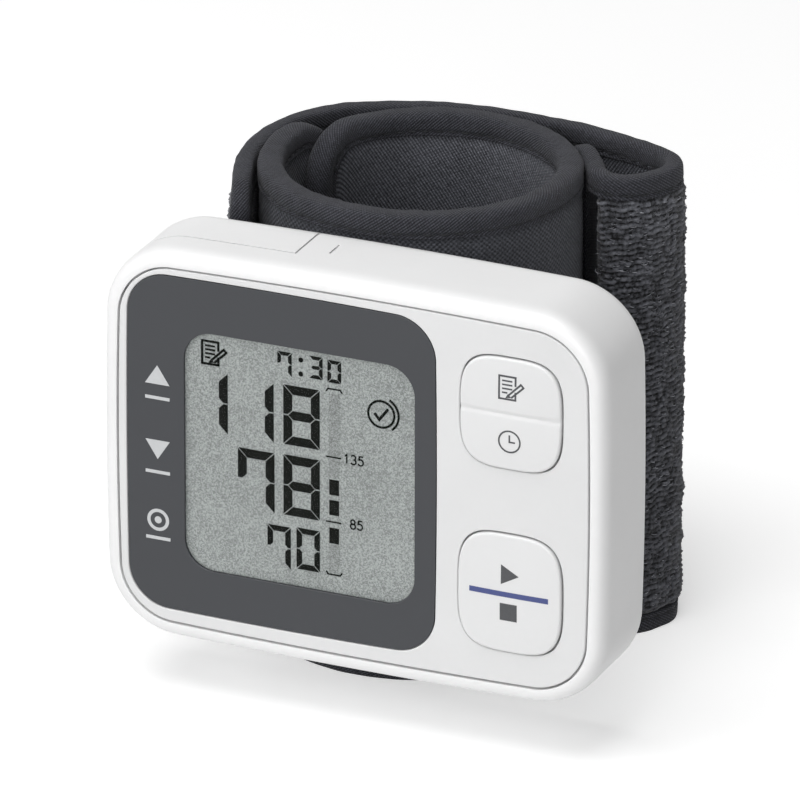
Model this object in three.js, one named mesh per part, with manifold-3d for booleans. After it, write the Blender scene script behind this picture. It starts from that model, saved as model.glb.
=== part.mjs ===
// Wrist blood pressure monitor, standing on the lower rim of its curled cuff.
// Millimetres. X runs to the right along the display, Y runs back from the display to the cuff, Z is up.
// The model is laid out with Y = 0 at the front of the housing's rim and Z = 0 at the cuff's lower rim.
// The last lines move it so that its origin is the middle of its footprint.
import * as THREE from 'three';
import { mergeVertices } from 'three/addons/utils/BufferGeometryUtils.js';
import Module from 'manifold-3d';

const wasm = await Module();
wasm.setup();

// Clearances
const seat_gap = 0.3;
const overrun = 4;
const round_steps = 20;
const small_round_steps = 12;

// Housing
const body_width = 77.6;
const body_end_room = 0.6;
const body_lift = 8.8;
const body_corner_radius = 10.5;
const body_bow = 0.6;
const rim_inset = 2.4;
const rim_depth = 3.5;
const back_radius = 3.5;
const wall = 1.8;
const ledge_width = 1.8;
const ledge_thickness = 1.2;
const back_thickness = 1.6;

// Front panel with its display window and key openings
const panel_thickness = 1.5;
const panel_edge_round = 0.25;
const window_left_margin = 4.05;
const window_top_margin = 3.95;
const window_bottom_margin = 4.85;
const window_radius = 6;
const window_bow = 0.3;
const window_recess = 0.8;
const window_thickness = 0.45;
const window_sink = 0.05;
const aperture_left_border = 8.9;
const aperture_right_border = 3.3;
const aperture_top_border = 8.35;
const aperture_bottom_border = 7.05;
const aperture_radius = 4.5;
const lens_lap = 1.2;
const lens_thickness = 0.6;
const lcd_lap = 1.6;
const lcd_thickness = 1.4;
const lcd_holder_width = 1.5;
const lcd_holder_depth = 1.8;
const connector_width = 2.5;
const connector_length = 28;

// Keys
const key_gap = 0.3;
const key_crown = 0.62;
const key_edge_round = 0.4;
const key_flange = 1;
const key_flange_thickness = 0.6;
const key_stem_radius = 1.4;
const key_radius = 5.2;
const key_bow = 0.7;
const key_travel = 0.4;
const key_window_gap = 3.55;
const key_right_margin = 6.6;
const start_key_width = 15.7;
const start_key_height = 17.9;
const start_key_bottom_margin = 7.95;
const rocker_key_width = 15.3;
const rocker_key_height = 16.7;
const rocker_key_top_margin = 7.7;
const rocker_crease_depth = 0.35;
const rocker_crease_half_width = 1.1;
const rocker_switch_spacing = 10.4;
const rocker_stem_relief = 0.2;

// Circuit board and what it carries
const board_front_y = 5.4;
const board_thickness = 1;
const board_edge_gap = 0.5;
const switch_width = 4.6;
const switch_height = 1.6;
const switch_plunger_radius = 1.1;
const sensor_width = 7;
const sensor_depth = 4;
const sensor_z = 15;
const port_radius = 1.3;
const port_length = 2;

// Battery bay with two AAA cells
const cell_radius = 5.25;
const cell_length = 44.5;
const cell_nub_radius = 1.9;
const cell_nub_length = 0.9;
const cell_gap = 0.8;
const cell_side_room = 2.3;
const cover_front_y = 5.9;
const cover_thickness = 1.3;
const cover_wall = 1.5;
const bay_wall = 1.5;
const bay_floor = 0.8;
const bay_floor_room = 0.8;
const bay_edge_gap = 0.35;
const bay_end_wall = 1.2;
const contact_thickness = 0.4;
const contact_width = 7.6;
const spring_length = 2.4;
const spring_wire = 0.5;
const spring_turns = 3;
const spring_base_radius = 3.2;
const spring_tip_radius = 1.8;
const spring_sides = 5;
const spring_steps = 10;
const latch_groove_inset = 4.3;
const latch_groove_length = 3.5;
const latch_groove_width = 0.35;
const latch_groove_depth = 0.4;
const latch_groove_y = 7.8;

// Rear cover, screws and the saddle that carries the cuff
const rear_cover_side_margin = 5.2;
const rear_cover_end_margin = 4.95;
const rear_cover_radius = 4;
const screw_boss_radius = 2.2;
const screw_boss_shoulder = 0.6;
const screw_radius = 0.8;
const screw_head_radius = 1.7;
const screw_head_height = 0.8;
const screw_tip_room = 9;
const screw_recess_radius = 0.8;
const screw_recess_depth = 0.35;
const screw_cover_inset = 3;
const saddle_width = 17.2;
const saddle_end_margin = 7.2;
const saddle_radius = 2.5;
const saddle_left_margin = 2.2;
const saddle_sink = 1.2;
const saddle_reach = 6;
const tub_wall = 1.2;
const tub_floor = 1.5;
const saddle_screw_inset = 3.2;
const saddle_screw_end_inset = 3;
const nipple_radius = 1.4;
const nipple_bore = 0.7;
const nipple_inset = 3.6;
const nipple_z = -8;

// Air pump, valve and tubes
const pump_room_share = 0.7;
const pump_back_gap = 0.6;
const pump_end_room = 2.45;
const pump_head_length = 9;
const pump_top_z = -4.6;
const pump_board_gap = 0.4;
const valve_radius = 3.1;
const valve_length = 10;
const valve_z = 1;
const valve_stem_radius = 1.5;
const valve_stem_length = 2.2;
const manifold_width = 8;
const manifold_depth = 4;
const air_line_room = 6.6;
const tube_radius = 1.4;
const tube_bore = 0.7;
const tube_sides = 8;

// Cuff: one curled strip that laps over its own inner end
const cuff_height = 71.6;
const cuff_saddle_offset = 5.2;
const cuff_body_reach = 24;
const cuff_half_width = 19.5;
const cuff_half_depth = 18.6;
const cuff_inner_end_deg = 177;
const cuff_outer_end_deg = -209;
const lap_start_deg = 10;
const lap_end_deg = -150;
const cuff_fabric = 0.6;
const cuff_curler_thickness = 0.6;
const cuff_bladder_thickness = 0.8;
const binding_proud = 0.15;
const binding_leg = 1.6;
const cuff_end_radius = 8.5;
const foot_cut = 0.75;
const cuff_columns = 54;

// Strap: sewn to the cuff, folded at the right, laid round the back and the left
const strap_height = 70.8;
const strap_half = 1.3;
const strap_web_thickness = 0.95;
const strap_pile_inner = 0;
const strap_pile_outer = 1.95;
const strap_binding_half = 1.4;
const strap_binding_leg = 2;
const strap_end_radius = 5;
const strap_columns = 64;
const strap_hinge_share = 0.486;
const pile_start_share = 0.12;
const hook_tab_length = 20;
const strap_rub_gap = 0.35;
const fold_reach = 31.1;
const fold_back = 18.4;

const colours = {
  white_gloss: [0xeff0f1, 0.28, 0],
  panel_white: [0xe4e6e8, 0.35, 0],
  charcoal: [0x45474b, 0.45, 0],
  clear: [0xdfe6e2, 0.08, 0],
  lcd_grey: [0xa5aaa5, 0.5, 0],
  frame_grey: [0x8c8f92, 0.6, 0],
  rubber_grey: [0x5a5a5c, 0.8, 0],
  board_green: [0x1f6b3f, 0.6, 0],
  black_plastic: [0x26272a, 0.55, 0],
  steel: [0xc9ccd0, 0.3, 1],
  cell_blue: [0x3d5a8c, 0.4, 0.3],
  silicone: [0xd8dcd8, 0.6, 0],
  cuff_nylon: [0x47484d, 0.9, 0],
  cuff_lining: [0x4d4e53, 0.9, 0],
  binding_twill: [0x505157, 0.85, 0],
  terry: [0x4a4b51, 0.95, 0],
  hook_black: [0x2c2d30, 0.9, 0],
};

// Solids and meshes

function toSolid(geometry) {
  const bare = geometry.clone();
  bare.deleteAttribute('normal');
  bare.deleteAttribute('uv');
  const merged = mergeVertices(bare);
  const vertProperties = new Float32Array(merged.attributes.position.array);
  const triVerts = new Uint32Array(merged.index.array);
  return new wasm.Manifold(new wasm.Mesh({ numProp: 3, vertProperties, triVerts }));
}

function toGeometry(solid) {
  const mesh = solid.getMesh();
  const geometry = new THREE.BufferGeometry();
  geometry.setAttribute('position', new THREE.BufferAttribute(mesh.vertProperties, 3));
  geometry.setIndex(new THREE.BufferAttribute(mesh.triVerts, 1));
  geometry.computeVertexNormals();
  return geometry;
}

function cutAll(solid, tools) {
  return tools.reduce((left, tool) => left.subtract(tool), solid);
}

function joinAll(solids) {
  return solids.reduce((left, tool) => left.add(tool));
}

function slab(x0, x1, y0, y1, z0, z1) {
  const geometry = new THREE.BoxGeometry(x1 - x0, y1 - y0, z1 - z0);
  geometry.translate((x0 + x1) / 2, (y0 + y1) / 2, (z0 + z1) / 2);
  return toSolid(geometry);
}

// A solid through a row of rings that all have the same number of points, closed flat at both ends.
function loft(rings, closed = false) {
  const count = rings[0].length;
  const positions = rings.flat().flatMap((point) => [point.x, point.y, point.z]);
  const index = [];
  const bands = closed ? rings.length : rings.length - 1;
  for (let i = 0; i < bands; i += 1) {
    const here = i * count;
    const next = ((i + 1) % rings.length) * count;
    for (let j = 0; j < count; j += 1) {
      const k = (j + 1) % count;
      index.push(here + j, here + k, next + k);
      index.push(here + j, next + k, next + j);
    }
  }
  if (!closed) {
    for (const [ring, flip] of [[rings[0], true], [rings[rings.length - 1], false]]) {
      const start = flip ? 0 : (rings.length - 1) * count;
      const middle = ring.reduce((sum, point) => sum.add(point), new THREE.Vector3()).divideScalar(count);
      const hub = positions.length / 3;
      positions.push(middle.x, middle.y, middle.z);
      for (let j = 0; j < count; j += 1) {
        const a = start + j;
        const b = start + ((j + 1) % count);
        index.push(hub, flip ? b : a, flip ? a : b);
      }
    }
  }
  const geometry = new THREE.BufferGeometry();
  geometry.setAttribute('position', new THREE.Float32BufferAttribute(positions, 3));
  geometry.setIndex(index);
  geometry.computeVertexNormals();
  return geometry;
}

// Outline of a rounded rectangle in X and Z whose sides bow out a little, listed so that a loft
// towards +Y faces outwards.
function crownedOutline(width, height, radius, bow, cornerSteps = 6) {
  const points = [];
  const corners = [[1, -1, -1], [1, 1, 0], [-1, 1, 1], [-1, -1, 2]];
  for (const [sx, sz, quarter] of corners) {
    for (let i = 0; i <= cornerSteps; i += 1) {
      const angle = (Math.PI / 2) * (quarter + i / cornerSteps);
      const x = sx * (width / 2 - radius) + radius * Math.cos(angle);
      const z = sz * (height / 2 - radius) + radius * Math.sin(angle);
      points.push([x, z]);
    }
  }
  const dense = [];
  points.forEach(([x, z], i) => {
    const [nx, nz] = points[(i + 1) % points.length];
    const parts = Math.hypot(nx - x, nz - z) > 2 * radius / cornerSteps * Math.PI / 2 ? 4 : 1;
    for (let j = 0; j < parts; j += 1) dense.push([x + ((nx - x) * j) / parts, z + ((nz - z) * j) / parts]);
  });
  return dense.map(([x, z]) => [
    x * (1 - (2 * bow / width) * (2 * z / height) ** 2),
    z * (1 - (2 * bow / height) * (2 * x / width) ** 2),
  ]).reverse();
}

function outlineOf(size) {
  return crownedOutline(size.width, size.height, size.radius, size.bow);
}

function ringAt(outline, y, x = 0, z = 0) {
  return outline.map(([px, pz]) => new THREE.Vector3(px + x, y, pz + z));
}

// A crowned plate between two depths, with its place and an optional rounded front edge.
function crownedPlate(size, y0, y1, edge = 0) {
  const { width, height, radius, bow, x = 0, z = 0 } = size;
  const full = crownedOutline(width, height, radius, bow);
  const rings = [];
  if (edge > 0) {
    const inner = crownedOutline(width - 2 * edge, height - 2 * edge, radius - edge, bow);
    rings.push(ringAt(inner, y0, x, z));
    rings.push(ringAt(full, y0 + edge, x, z));
  } else {
    rings.push(ringAt(full, y0, x, z));
  }
  rings.push(ringAt(full, y1, x, z));
  return toSolid(loft(rings));
}

function grown(size, by) {
  return {
    ...size,
    width: size.width + 2 * by,
    height: size.height + 2 * by,
    radius: size.radius + by,
  };
}

function rodAlongY(radius, y0, y1, x, z, steps = round_steps) {
  const geometry = new THREE.CylinderGeometry(radius, radius, y1 - y0, steps);
  geometry.translate(x, (y0 + y1) / 2, z);
  return toSolid(geometry);
}

function rodAlongZ(radius, z0, z1, x, y, steps = round_steps) {
  const geometry = new THREE.CylinderGeometry(radius, radius, z1 - z0, steps);
  geometry.rotateX(Math.PI / 2);
  geometry.translate(x, y, (z0 + z1) / 2);
  return toSolid(geometry);
}

function rodAlongX(radius, x0, x1, y, z, steps = round_steps) {
  const geometry = new THREE.CylinderGeometry(radius, radius, x1 - x0, steps);
  geometry.rotateZ(Math.PI / 2);
  geometry.translate((x0 + x1) / 2, y, z);
  return toSolid(geometry);
}

const model = new THREE.Group();
const monitor = new THREE.Group();
model.add(monitor);

function addMesh(parent, name, geometry, colour) {
  const [color, roughness, metalness] = colours[colour];
  const mesh = new THREE.Mesh(geometry, new THREE.MeshStandardMaterial({ color, roughness, metalness }));
  mesh.name = name;
  parent.add(mesh);
  return mesh;
}

// Housing form, shared by the front shell and the battery cover

const cell_end_room = spring_length + contact_thickness + 3 * seat_gap;
const bay_half_height = cell_length / 2 + cell_end_room;
const half_x = body_width / 2;
const half_z = bay_half_height + bay_end_wall + wall + body_bow + body_end_room;
const body_height = 2 * half_z;
monitor.position.z = body_lift + half_z;
const ledge_front_y = panel_thickness + seat_gap;
const ledge_back_y = ledge_front_y + ledge_thickness;
const bay_floor_y0 = ledge_back_y + bay_floor_room;
const bay_floor_y1 = bay_floor_y0 + bay_floor;
const cell_y = bay_floor_y1 + seat_gap + cell_radius;
const cover_inner_y = cell_y + cell_radius + seat_gap;
const body_depth = cover_inner_y + cover_thickness;
const back_inner_y = body_depth - back_thickness;
const body_size = {
  width: body_width, height: body_height, radius: body_corner_radius, bow: body_bow,
};

function housingForm() {
  const rings = [];
  const rimSteps = 4;
  const backSteps = 4;
  for (let i = 0; i <= rimSteps; i += 1) {
    const angle = (Math.PI / 2) * (i / rimSteps);
    const size = grown(body_size, -rim_inset * (1 - Math.sin(angle)));
    rings.push(ringAt(outlineOf(size), rim_depth * (1 - Math.cos(angle))));
  }
  for (let i = 0; i <= backSteps; i += 1) {
    const angle = (Math.PI / 2) * (i / backSteps);
    const size = grown(body_size, -back_radius * (1 - Math.cos(angle)));
    const y = body_depth - back_radius * (1 - Math.sin(angle));
    rings.push(ringAt(outlineOf(size), y));
  }
  return toSolid(loft(rings));
}

const housing_form = housingForm();
const panel_size = grown(body_size, -rim_inset - seat_gap);

// Battery bay: two cells side by side, standing upright
const cell_2_x = -half_x + cover_wall + cell_side_room + cell_radius;
const cell_1_x = cell_2_x + 2 * cell_radius + cell_gap;
const bay_right_x = cell_1_x + cell_radius + 2 * seat_gap;
const cover_edge_x = bay_right_x + bay_wall;
const bay_end_y = back_inner_y - seat_gap;

const rear_cover_right_x = half_x - rear_cover_side_margin;
const rear_cover_half_height = half_z - rear_cover_end_margin;
const cover_left_x = cover_edge_x + seat_gap;
const cover_screw_places = [cover_left_x, rear_cover_right_x].flatMap((x, side) => [1, -1].map((up) => [
  x + (side ? -1 : 1) * screw_cover_inset,
  up * (rear_cover_half_height - screw_cover_inset),
]));
const rear_cover_size = {
  width: rear_cover_right_x - cover_left_x,
  height: 2 * rear_cover_half_height,
  radius: rear_cover_radius,
  bow: 0,
  x: (rear_cover_right_x + cover_left_x) / 2,
};
const saddle_x = cover_left_x + saddle_left_margin + saddle_width / 2;
const saddle_height = 2 * (rear_cover_half_height - saddle_end_margin);
const saddle_screw_z = saddle_height / 2 - saddle_screw_end_inset;
const screw_length = body_depth - screw_tip_room;
const air_line_y = body_depth - air_line_room;
const cuff_centre_y = body_depth + cuff_body_reach;
const post_front_y = ledge_front_y + lcd_holder_depth + seat_gap;

function buildMainHousing() {
  const cavity = crownedPlate(grown(body_size, -wall), ledge_back_y, back_inner_y);
  const panel_recess = crownedPlate(grown(body_size, -rim_inset), -overrun, ledge_front_y);
  const ledge_size = grown(body_size, -rim_inset - ledge_width);
  const ledge_opening = crownedPlate(ledge_size, -overrun, ledge_back_y + overrun);
  const rear_opening_size = grown(rear_cover_size, seat_gap);
  const rear_opening = crownedPlate(rear_opening_size, ledge_back_y + overrun, body_depth + overrun);
  const cover_opening = slab(
    -half_x - overrun,
    cover_edge_x,
    cover_front_y,
    body_depth + overrun,
    -half_z - overrun,
    half_z + overrun,
  );
  const groove = slab(
    cover_edge_x + latch_groove_inset - latch_groove_width / 2,
    cover_edge_x + latch_groove_inset + latch_groove_width / 2,
    latch_groove_y,
    latch_groove_y + latch_groove_length,
    half_z - body_bow - latch_groove_depth,
    half_z + overrun,
  );
  const openings = [panel_recess, ledge_opening, rear_opening, cover_opening];
  const shell = cutAll(housing_form, [cavity, ...openings, groove]);

  const bay_envelope = crownedPlate(grown(body_size, -cover_wall - bay_edge_gap), ledge_back_y, bay_end_y);
  const floor_envelope = crownedPlate(grown(body_size, -wall / 2), ledge_back_y, cover_front_y - seat_gap);
  const floor_slab = slab(-half_x, cover_edge_x, bay_floor_y0, bay_floor_y1, -half_z, half_z);
  const floor = floor_slab.intersect(floor_envelope);
  const end_wall_x1 = bay_right_x + bay_wall / 2;
  const end_wall_z = bay_half_height + bay_end_wall;
  const walls = [
    slab(bay_right_x, cover_edge_x, bay_floor_y0, bay_end_y, -half_z, half_z),
    slab(-half_x, end_wall_x1, bay_floor_y0, bay_end_y, bay_half_height, end_wall_z),
    slab(-half_x, end_wall_x1, bay_floor_y0, bay_end_y, -end_wall_z, -bay_half_height),
  ].map((piece) => piece.intersect(bay_envelope));

  const shoulder_radius = screw_boss_radius + screw_boss_shoulder;
  const shoulder_back_y = board_front_y - seat_gap;
  const posts = cover_screw_places.flatMap(([x, z]) => [
    rodAlongY(screw_boss_radius, post_front_y, back_inner_y - seat_gap, x, z, small_round_steps),
    rodAlongY(shoulder_radius, post_front_y, shoulder_back_y, x, z, small_round_steps),
    slab(
      x - screw_boss_radius,
      x + screw_boss_radius,
      post_front_y,
      shoulder_back_y,
      Math.min(z, Math.sign(z) * half_z),
      Math.max(z, Math.sign(z) * half_z),
    ),
  ]);
  const post_envelope = crownedPlate(grown(body_size, -wall / 2), post_front_y, body_depth);
  const inner = joinAll([floor, ...walls, ...posts.map((post) => post.intersect(post_envelope))]);
  const holes = cover_screw_places.map(([x, z]) => rodAlongY(
    screw_radius + seat_gap,
    body_depth - screw_length - 2 * seat_gap,
    body_depth + overrun,
    x,
    z,
    small_round_steps,
  ));
  return cutAll(shell.add(inner), holes);
}

// Size and place of a crowned plate from the edges that it reaches to
function between(x0, x1, z0, z1, radius, bow) {
  return { width: x1 - x0, height: z1 - z0, radius, bow, x: (x0 + x1) / 2, z: (z0 + z1) / 2 };
}

const key_centre_x = half_x - key_right_margin - start_key_width / 2;
const start_key_z = start_key_bottom_margin + start_key_height / 2 - half_z;
const rocker_key_z = half_z - rocker_key_top_margin - rocker_key_height / 2;
const window_x0 = window_left_margin - half_x;
const window_x1 = key_centre_x - start_key_width / 2 - key_window_gap;
const window_z0 = window_bottom_margin - half_z;
const window_z1 = half_z - window_top_margin;
const window_size = between(window_x0, window_x1, window_z0, window_z1, window_radius, window_bow);
const aperture_size = between(
  window_x0 + aperture_left_border,
  window_x1 - aperture_right_border,
  window_z0 + aperture_bottom_border,
  window_z1 - aperture_top_border,
  aperture_radius,
  0,
);
const lens_size = grown(aperture_size, lens_lap);
const lcd_size = { ...grown(aperture_size, lcd_lap), radius: lcd_lap };
const start_key_size = {
  width: start_key_width, height: start_key_height, radius: key_radius, bow: key_bow,
  x: key_centre_x, z: start_key_z,
};
const rocker_key_size = {
  width: rocker_key_width, height: rocker_key_height, radius: key_radius, bow: key_bow,
  x: key_centre_x, z: rocker_key_z,
};

function buildFrontPanel() {
  const plate = crownedPlate(panel_size, 0, panel_thickness, panel_edge_round);
  return cutAll(plate, [
    crownedPlate(grown(window_size, seat_gap / 2), -overrun, window_recess),
    crownedPlate(grown(lens_size, seat_gap), -overrun, overrun),
    crownedPlate(grown(start_key_size, key_gap), -overrun, overrun),
    crownedPlate(grown(rocker_key_size, key_gap), -overrun, overrun),
  ]);
}

function buildWindowPlate() {
  const plate = crownedPlate(window_size, window_sink, window_sink + window_thickness);
  return plate.subtract(crownedPlate(aperture_size, -overrun, overrun));
}

const lens_front_y = window_sink + window_thickness + seat_gap;
const lcd_front_y = ledge_front_y;
const lcd_back_y = lcd_front_y + lcd_thickness;

function buildLcdHolder() {
  const outer_size = grown(lcd_size, seat_gap + lcd_holder_width);
  const outer = crownedPlate(outer_size, lcd_front_y, lcd_front_y + lcd_holder_depth);
  return outer.subtract(crownedPlate(grown(lcd_size, seat_gap), -overrun, overrun + lcd_front_y));
}

addMesh(monitor, 'main_housing', toGeometry(buildMainHousing()), 'white_gloss');
addMesh(monitor, 'front_panel', toGeometry(buildFrontPanel()), 'panel_white');
addMesh(monitor, 'window_plate', toGeometry(buildWindowPlate()), 'charcoal');
const display_lens = crownedPlate(lens_size, lens_front_y, lens_front_y + lens_thickness);
addMesh(monitor, 'display_lens', toGeometry(display_lens), 'clear');
addMesh(monitor, 'lcd_panel', toGeometry(crownedPlate(lcd_size, lcd_front_y, lcd_back_y)), 'lcd_grey');
addMesh(monitor, 'lcd_holder', toGeometry(buildLcdHolder()), 'frame_grey');

const connector_x = lcd_size.x + lcd_size.width / 2 - connector_width - lcd_lap;
addMesh(monitor, 'lcd_connector', toGeometry(slab(
  connector_x,
  connector_x + connector_width,
  lcd_back_y + seat_gap,
  board_front_y - seat_gap,
  aperture_size.z - connector_length / 2,
  aperture_size.z + connector_length / 2,
)), 'rubber_grey');

// Keys: a crowned cap that passes through the front panel and a flange that keeps it in

const flange_front_y = panel_thickness + seat_gap;
const flange_back_y = flange_front_y + key_flange_thickness;
const switch_back_y = board_front_y - seat_gap;
const switch_front_y = switch_back_y - switch_height;
const plunger_front_y = switch_front_y - key_travel - seat_gap / 6;
const stem_end_y = plunger_front_y - key_travel - seat_gap / 6;

function keyCap(size, stems, stemEnd) {
  const { width, height, radius, bow, x, z } = size;
  const edges = [
    [flange_back_y, 0],
    [key_edge_round - key_crown, 0],
    [key_edge_round / 3 - key_crown, key_edge_round / 2],
    [-key_crown, 2 * key_edge_round],
  ];
  const rings = edges.reverse().map(([y, inset]) => {
    const outline = crownedOutline(width - 2 * inset, height - 2 * inset, radius - inset, bow);
    return ringAt(outline, y, x, z);
  });
  const flange = crownedPlate(grown(size, key_flange), flange_front_y, flange_back_y);
  const rods = stems.map((stemZ) => rodAlongY(key_stem_radius, flange_front_y, stemEnd, x, stemZ));
  return joinAll([toSolid(loft(rings)), flange, ...rods]);
}

function buildRocker() {
  const switches = [1, -1].map((side) => rocker_key_z + side * rocker_switch_spacing / 2);
  const cap = keyCap(rocker_key_size, switches, stem_end_y + rocker_stem_relief);
  const valley = new THREE.Shape([
    new THREE.Vector2(-rocker_crease_half_width, -key_crown - overrun),
    new THREE.Vector2(rocker_crease_half_width, -key_crown - overrun),
    new THREE.Vector2(rocker_crease_half_width, -key_crown),
    new THREE.Vector2(0, rocker_crease_depth - key_crown),
    new THREE.Vector2(-rocker_crease_half_width, -key_crown),
  ]);
  const bar = new THREE.ExtrudeGeometry(valley, { depth: body_width, bevelEnabled: false });
  bar.applyMatrix4(new THREE.Matrix4().makeBasis(
    new THREE.Vector3(0, 0, 1),
    new THREE.Vector3(0, 1, 0),
    new THREE.Vector3(-1, 0, 0),
  ));
  bar.translate(half_x + key_centre_x, 0, rocker_key_z);
  return cap.subtract(toSolid(bar));
}

const start_key = keyCap(start_key_size, [start_key_z], stem_end_y);
addMesh(monitor, 'start_stop_button', toGeometry(start_key), 'panel_white');
addMesh(monitor, 'memory_clock_rocker', toGeometry(buildRocker()), 'panel_white');

// Circuit board, switches and sensor

const board_back_y = board_front_y + board_thickness;

function buildBoard() {
  const outline = crownedPlate(grown(body_size, -wall - board_edge_gap), board_front_y, board_back_y);
  const kept = slab(
    cover_edge_x + seat_gap,
    half_x,
    board_front_y - overrun,
    board_back_y + overrun,
    -half_z,
    half_z,
  );
  const holes = cover_screw_places.map(([x, z]) => rodAlongY(
    screw_boss_radius + seat_gap,
    board_front_y - overrun,
    board_back_y + overrun,
    x,
    z,
  ));
  return cutAll(outline.intersect(kept), holes);
}

function buildSwitch(z) {
  const half = switch_width / 2;
  const [x0, x1] = [key_centre_x - half, key_centre_x + half];
  const base = slab(x0, x1, switch_front_y, switch_back_y, z - half, z + half);
  return base.add(rodAlongY(switch_plunger_radius, plunger_front_y, switch_back_y, key_centre_x, z));
}

addMesh(monitor, 'circuit_board', toGeometry(buildBoard()), 'board_green');
const switch_places = {
  tact_switch_start: start_key_z,
  tact_switch_memory: rocker_key_z + rocker_switch_spacing / 2,
  tact_switch_clock: rocker_key_z - rocker_switch_spacing / 2,
};
for (const [name, z] of Object.entries(switch_places)) {
  addMesh(monitor, name, toGeometry(buildSwitch(z)), 'black_plastic');
}

const pump_room_x0 = saddle_x + saddle_width / 2 + tub_wall + 2 * seat_gap;
const pump_room_x1 = rear_cover_right_x - screw_cover_inset - screw_boss_radius - seat_gap;
const pump_head_width = pump_room_share * (pump_room_x1 - pump_room_x0);
const pump_radius = pump_head_width / 2;
const pump_x = pump_room_x1 - pump_radius;
const sensor_x = pump_x + (pump_head_width - sensor_width) / 2;
const sensor_y0 = board_back_y + seat_gap;
const sensor_y1 = sensor_y0 + sensor_depth;
const sensor_port_y = sensor_y1 - port_radius;
const sensor_left_x = sensor_x - sensor_width / 2;
const sensor_body = slab(
  sensor_left_x,
  sensor_x + sensor_width / 2,
  sensor_y0,
  sensor_y1,
  sensor_z - sensor_width / 2,
  sensor_z + sensor_width / 2,
);
const sensor_port = rodAlongX(port_radius, sensor_left_x - port_length, sensor_x, sensor_port_y, sensor_z);
addMesh(monitor, 'pressure_sensor', toGeometry(sensor_body.add(sensor_port)), 'black_plastic');

// Air pump, release valve, manifold and tubes

const pump_y0 = board_back_y + pump_board_gap;
const pump_y1 = back_inner_y - pump_back_gap;
const pump_y = (pump_y0 + pump_y1) / 2;
const pump_head_z0 = pump_top_z - pump_head_length;
const motor_z1 = pump_head_z0 - seat_gap;
const motor_z0 = pump_end_room - half_z;
const motor_can = rodAlongZ(pump_radius, motor_z0, motor_z1, pump_x, pump_y, 2 * round_steps);
const motor_flats = slab(pump_x - pump_radius, pump_x + pump_radius, pump_y0, pump_y1, -half_z, half_z);
addMesh(monitor, 'air_pump_motor', toGeometry(motor_can.intersect(motor_flats)), 'steel');

const head_left_x = pump_x - pump_radius;
const head_right_x = pump_x + pump_radius;
const pump_line_z = (pump_head_z0 + pump_top_z) / 2;
const pump_head = slab(head_left_x, head_right_x, pump_y0, pump_y1, pump_head_z0, pump_top_z);
const pump_port = rodAlongX(port_radius, head_left_x - port_length, pump_x, air_line_y, pump_line_z);
addMesh(monitor, 'air_pump_head', toGeometry(pump_head.add(pump_port)), 'black_plastic');

const nipple_x = saddle_x - saddle_width / 2 + nipple_inset;
const valve_body = rodAlongZ(valve_radius, valve_z, valve_z + valve_length, nipple_x, air_line_y);
const stem_z = valve_z - valve_stem_length;
const valve_stem = rodAlongZ(valve_stem_radius, stem_z, valve_z + valve_radius, nipple_x, air_line_y);
addMesh(monitor, 'release_valve', toGeometry(valve_body.add(valve_stem)), 'steel');

const manifold_x0 = nipple_x - manifold_width / 2;
const manifold_x1 = nipple_x + manifold_width / 2;
const manifold_z0 = nipple_z - manifold_width / 2;
const manifold_z1 = nipple_z + manifold_width / 2;
const manifold_y1 = air_line_y + manifold_depth / 2;
addMesh(monitor, 'air_manifold', toGeometry(slab(
  manifold_x0,
  manifold_x1,
  air_line_y - manifold_depth / 2,
  manifold_y1,
  manifold_z0,
  manifold_z1,
)), 'black_plastic');

function roundOutline(radius, sides) {
  return Array.from({ length: sides }, (_, i) => {
    const angle = (2 * Math.PI * i) / sides;
    return new THREE.Vector2(radius * Math.cos(angle), radius * Math.sin(angle));
  });
}

function airTube(points, steps) {
  const path = new THREE.CatmullRomCurve3(points.map(([x, y, z]) => new THREE.Vector3(x, y, z)));
  const section = new THREE.Shape(roundOutline(tube_radius, tube_sides));
  section.holes.push(new THREE.Path(roundOutline(tube_bore, tube_sides)));
  return new THREE.ExtrudeGeometry(section, { steps, extrudePath: path, bevelEnabled: false });
}

const manifold_port_x = manifold_x1 + seat_gap;
addMesh(monitor, 'air_tube_pump', airTube([
  [manifold_port_x, air_line_y, pump_line_z],
  [(manifold_port_x + head_left_x - port_length - seat_gap) / 2, air_line_y, pump_line_z],
  [head_left_x - port_length - seat_gap, air_line_y, pump_line_z],
], 4), 'silicone');
addMesh(monitor, 'air_tube_valve', airTube([
  [nipple_x, air_line_y, manifold_z1 + seat_gap],
  [nipple_x, air_line_y, (manifold_z1 + stem_z) / 2],
  [nipple_x, air_line_y, stem_z - seat_gap],
], 4), 'silicone');
const sensor_tube_end_x = sensor_left_x - port_length - seat_gap;
const sensor_line_x = (manifold_port_x + sensor_tube_end_x) / 2;
addMesh(monitor, 'air_tube_sensor', airTube([
  [manifold_port_x, air_line_y, manifold_z1 - tube_radius],
  [manifold_port_x + 2 * tube_radius, air_line_y, manifold_z1 - tube_radius],
  [sensor_line_x, air_line_y, manifold_z1 + 3 * tube_radius],
  [sensor_line_x, sensor_port_y, sensor_z - 3 * tube_radius],
  [sensor_tube_end_x - 2 * tube_radius, sensor_port_y, sensor_z],
  [sensor_tube_end_x, sensor_port_y, sensor_z],
], 12), 'silicone');

// Cells, contacts and springs

function buildCell(x, up) {
  const body_end = cell_length / 2 - cell_nub_length;
  const can = rodAlongZ(cell_radius, -cell_length / 2, body_end, x, cell_y, 28);
  const nub = rodAlongZ(cell_nub_radius, 0, cell_length / 2, x, cell_y);
  const cell = can.add(nub);
  return up ? cell : cell.mirror([0, 0, 1]);
}

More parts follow.
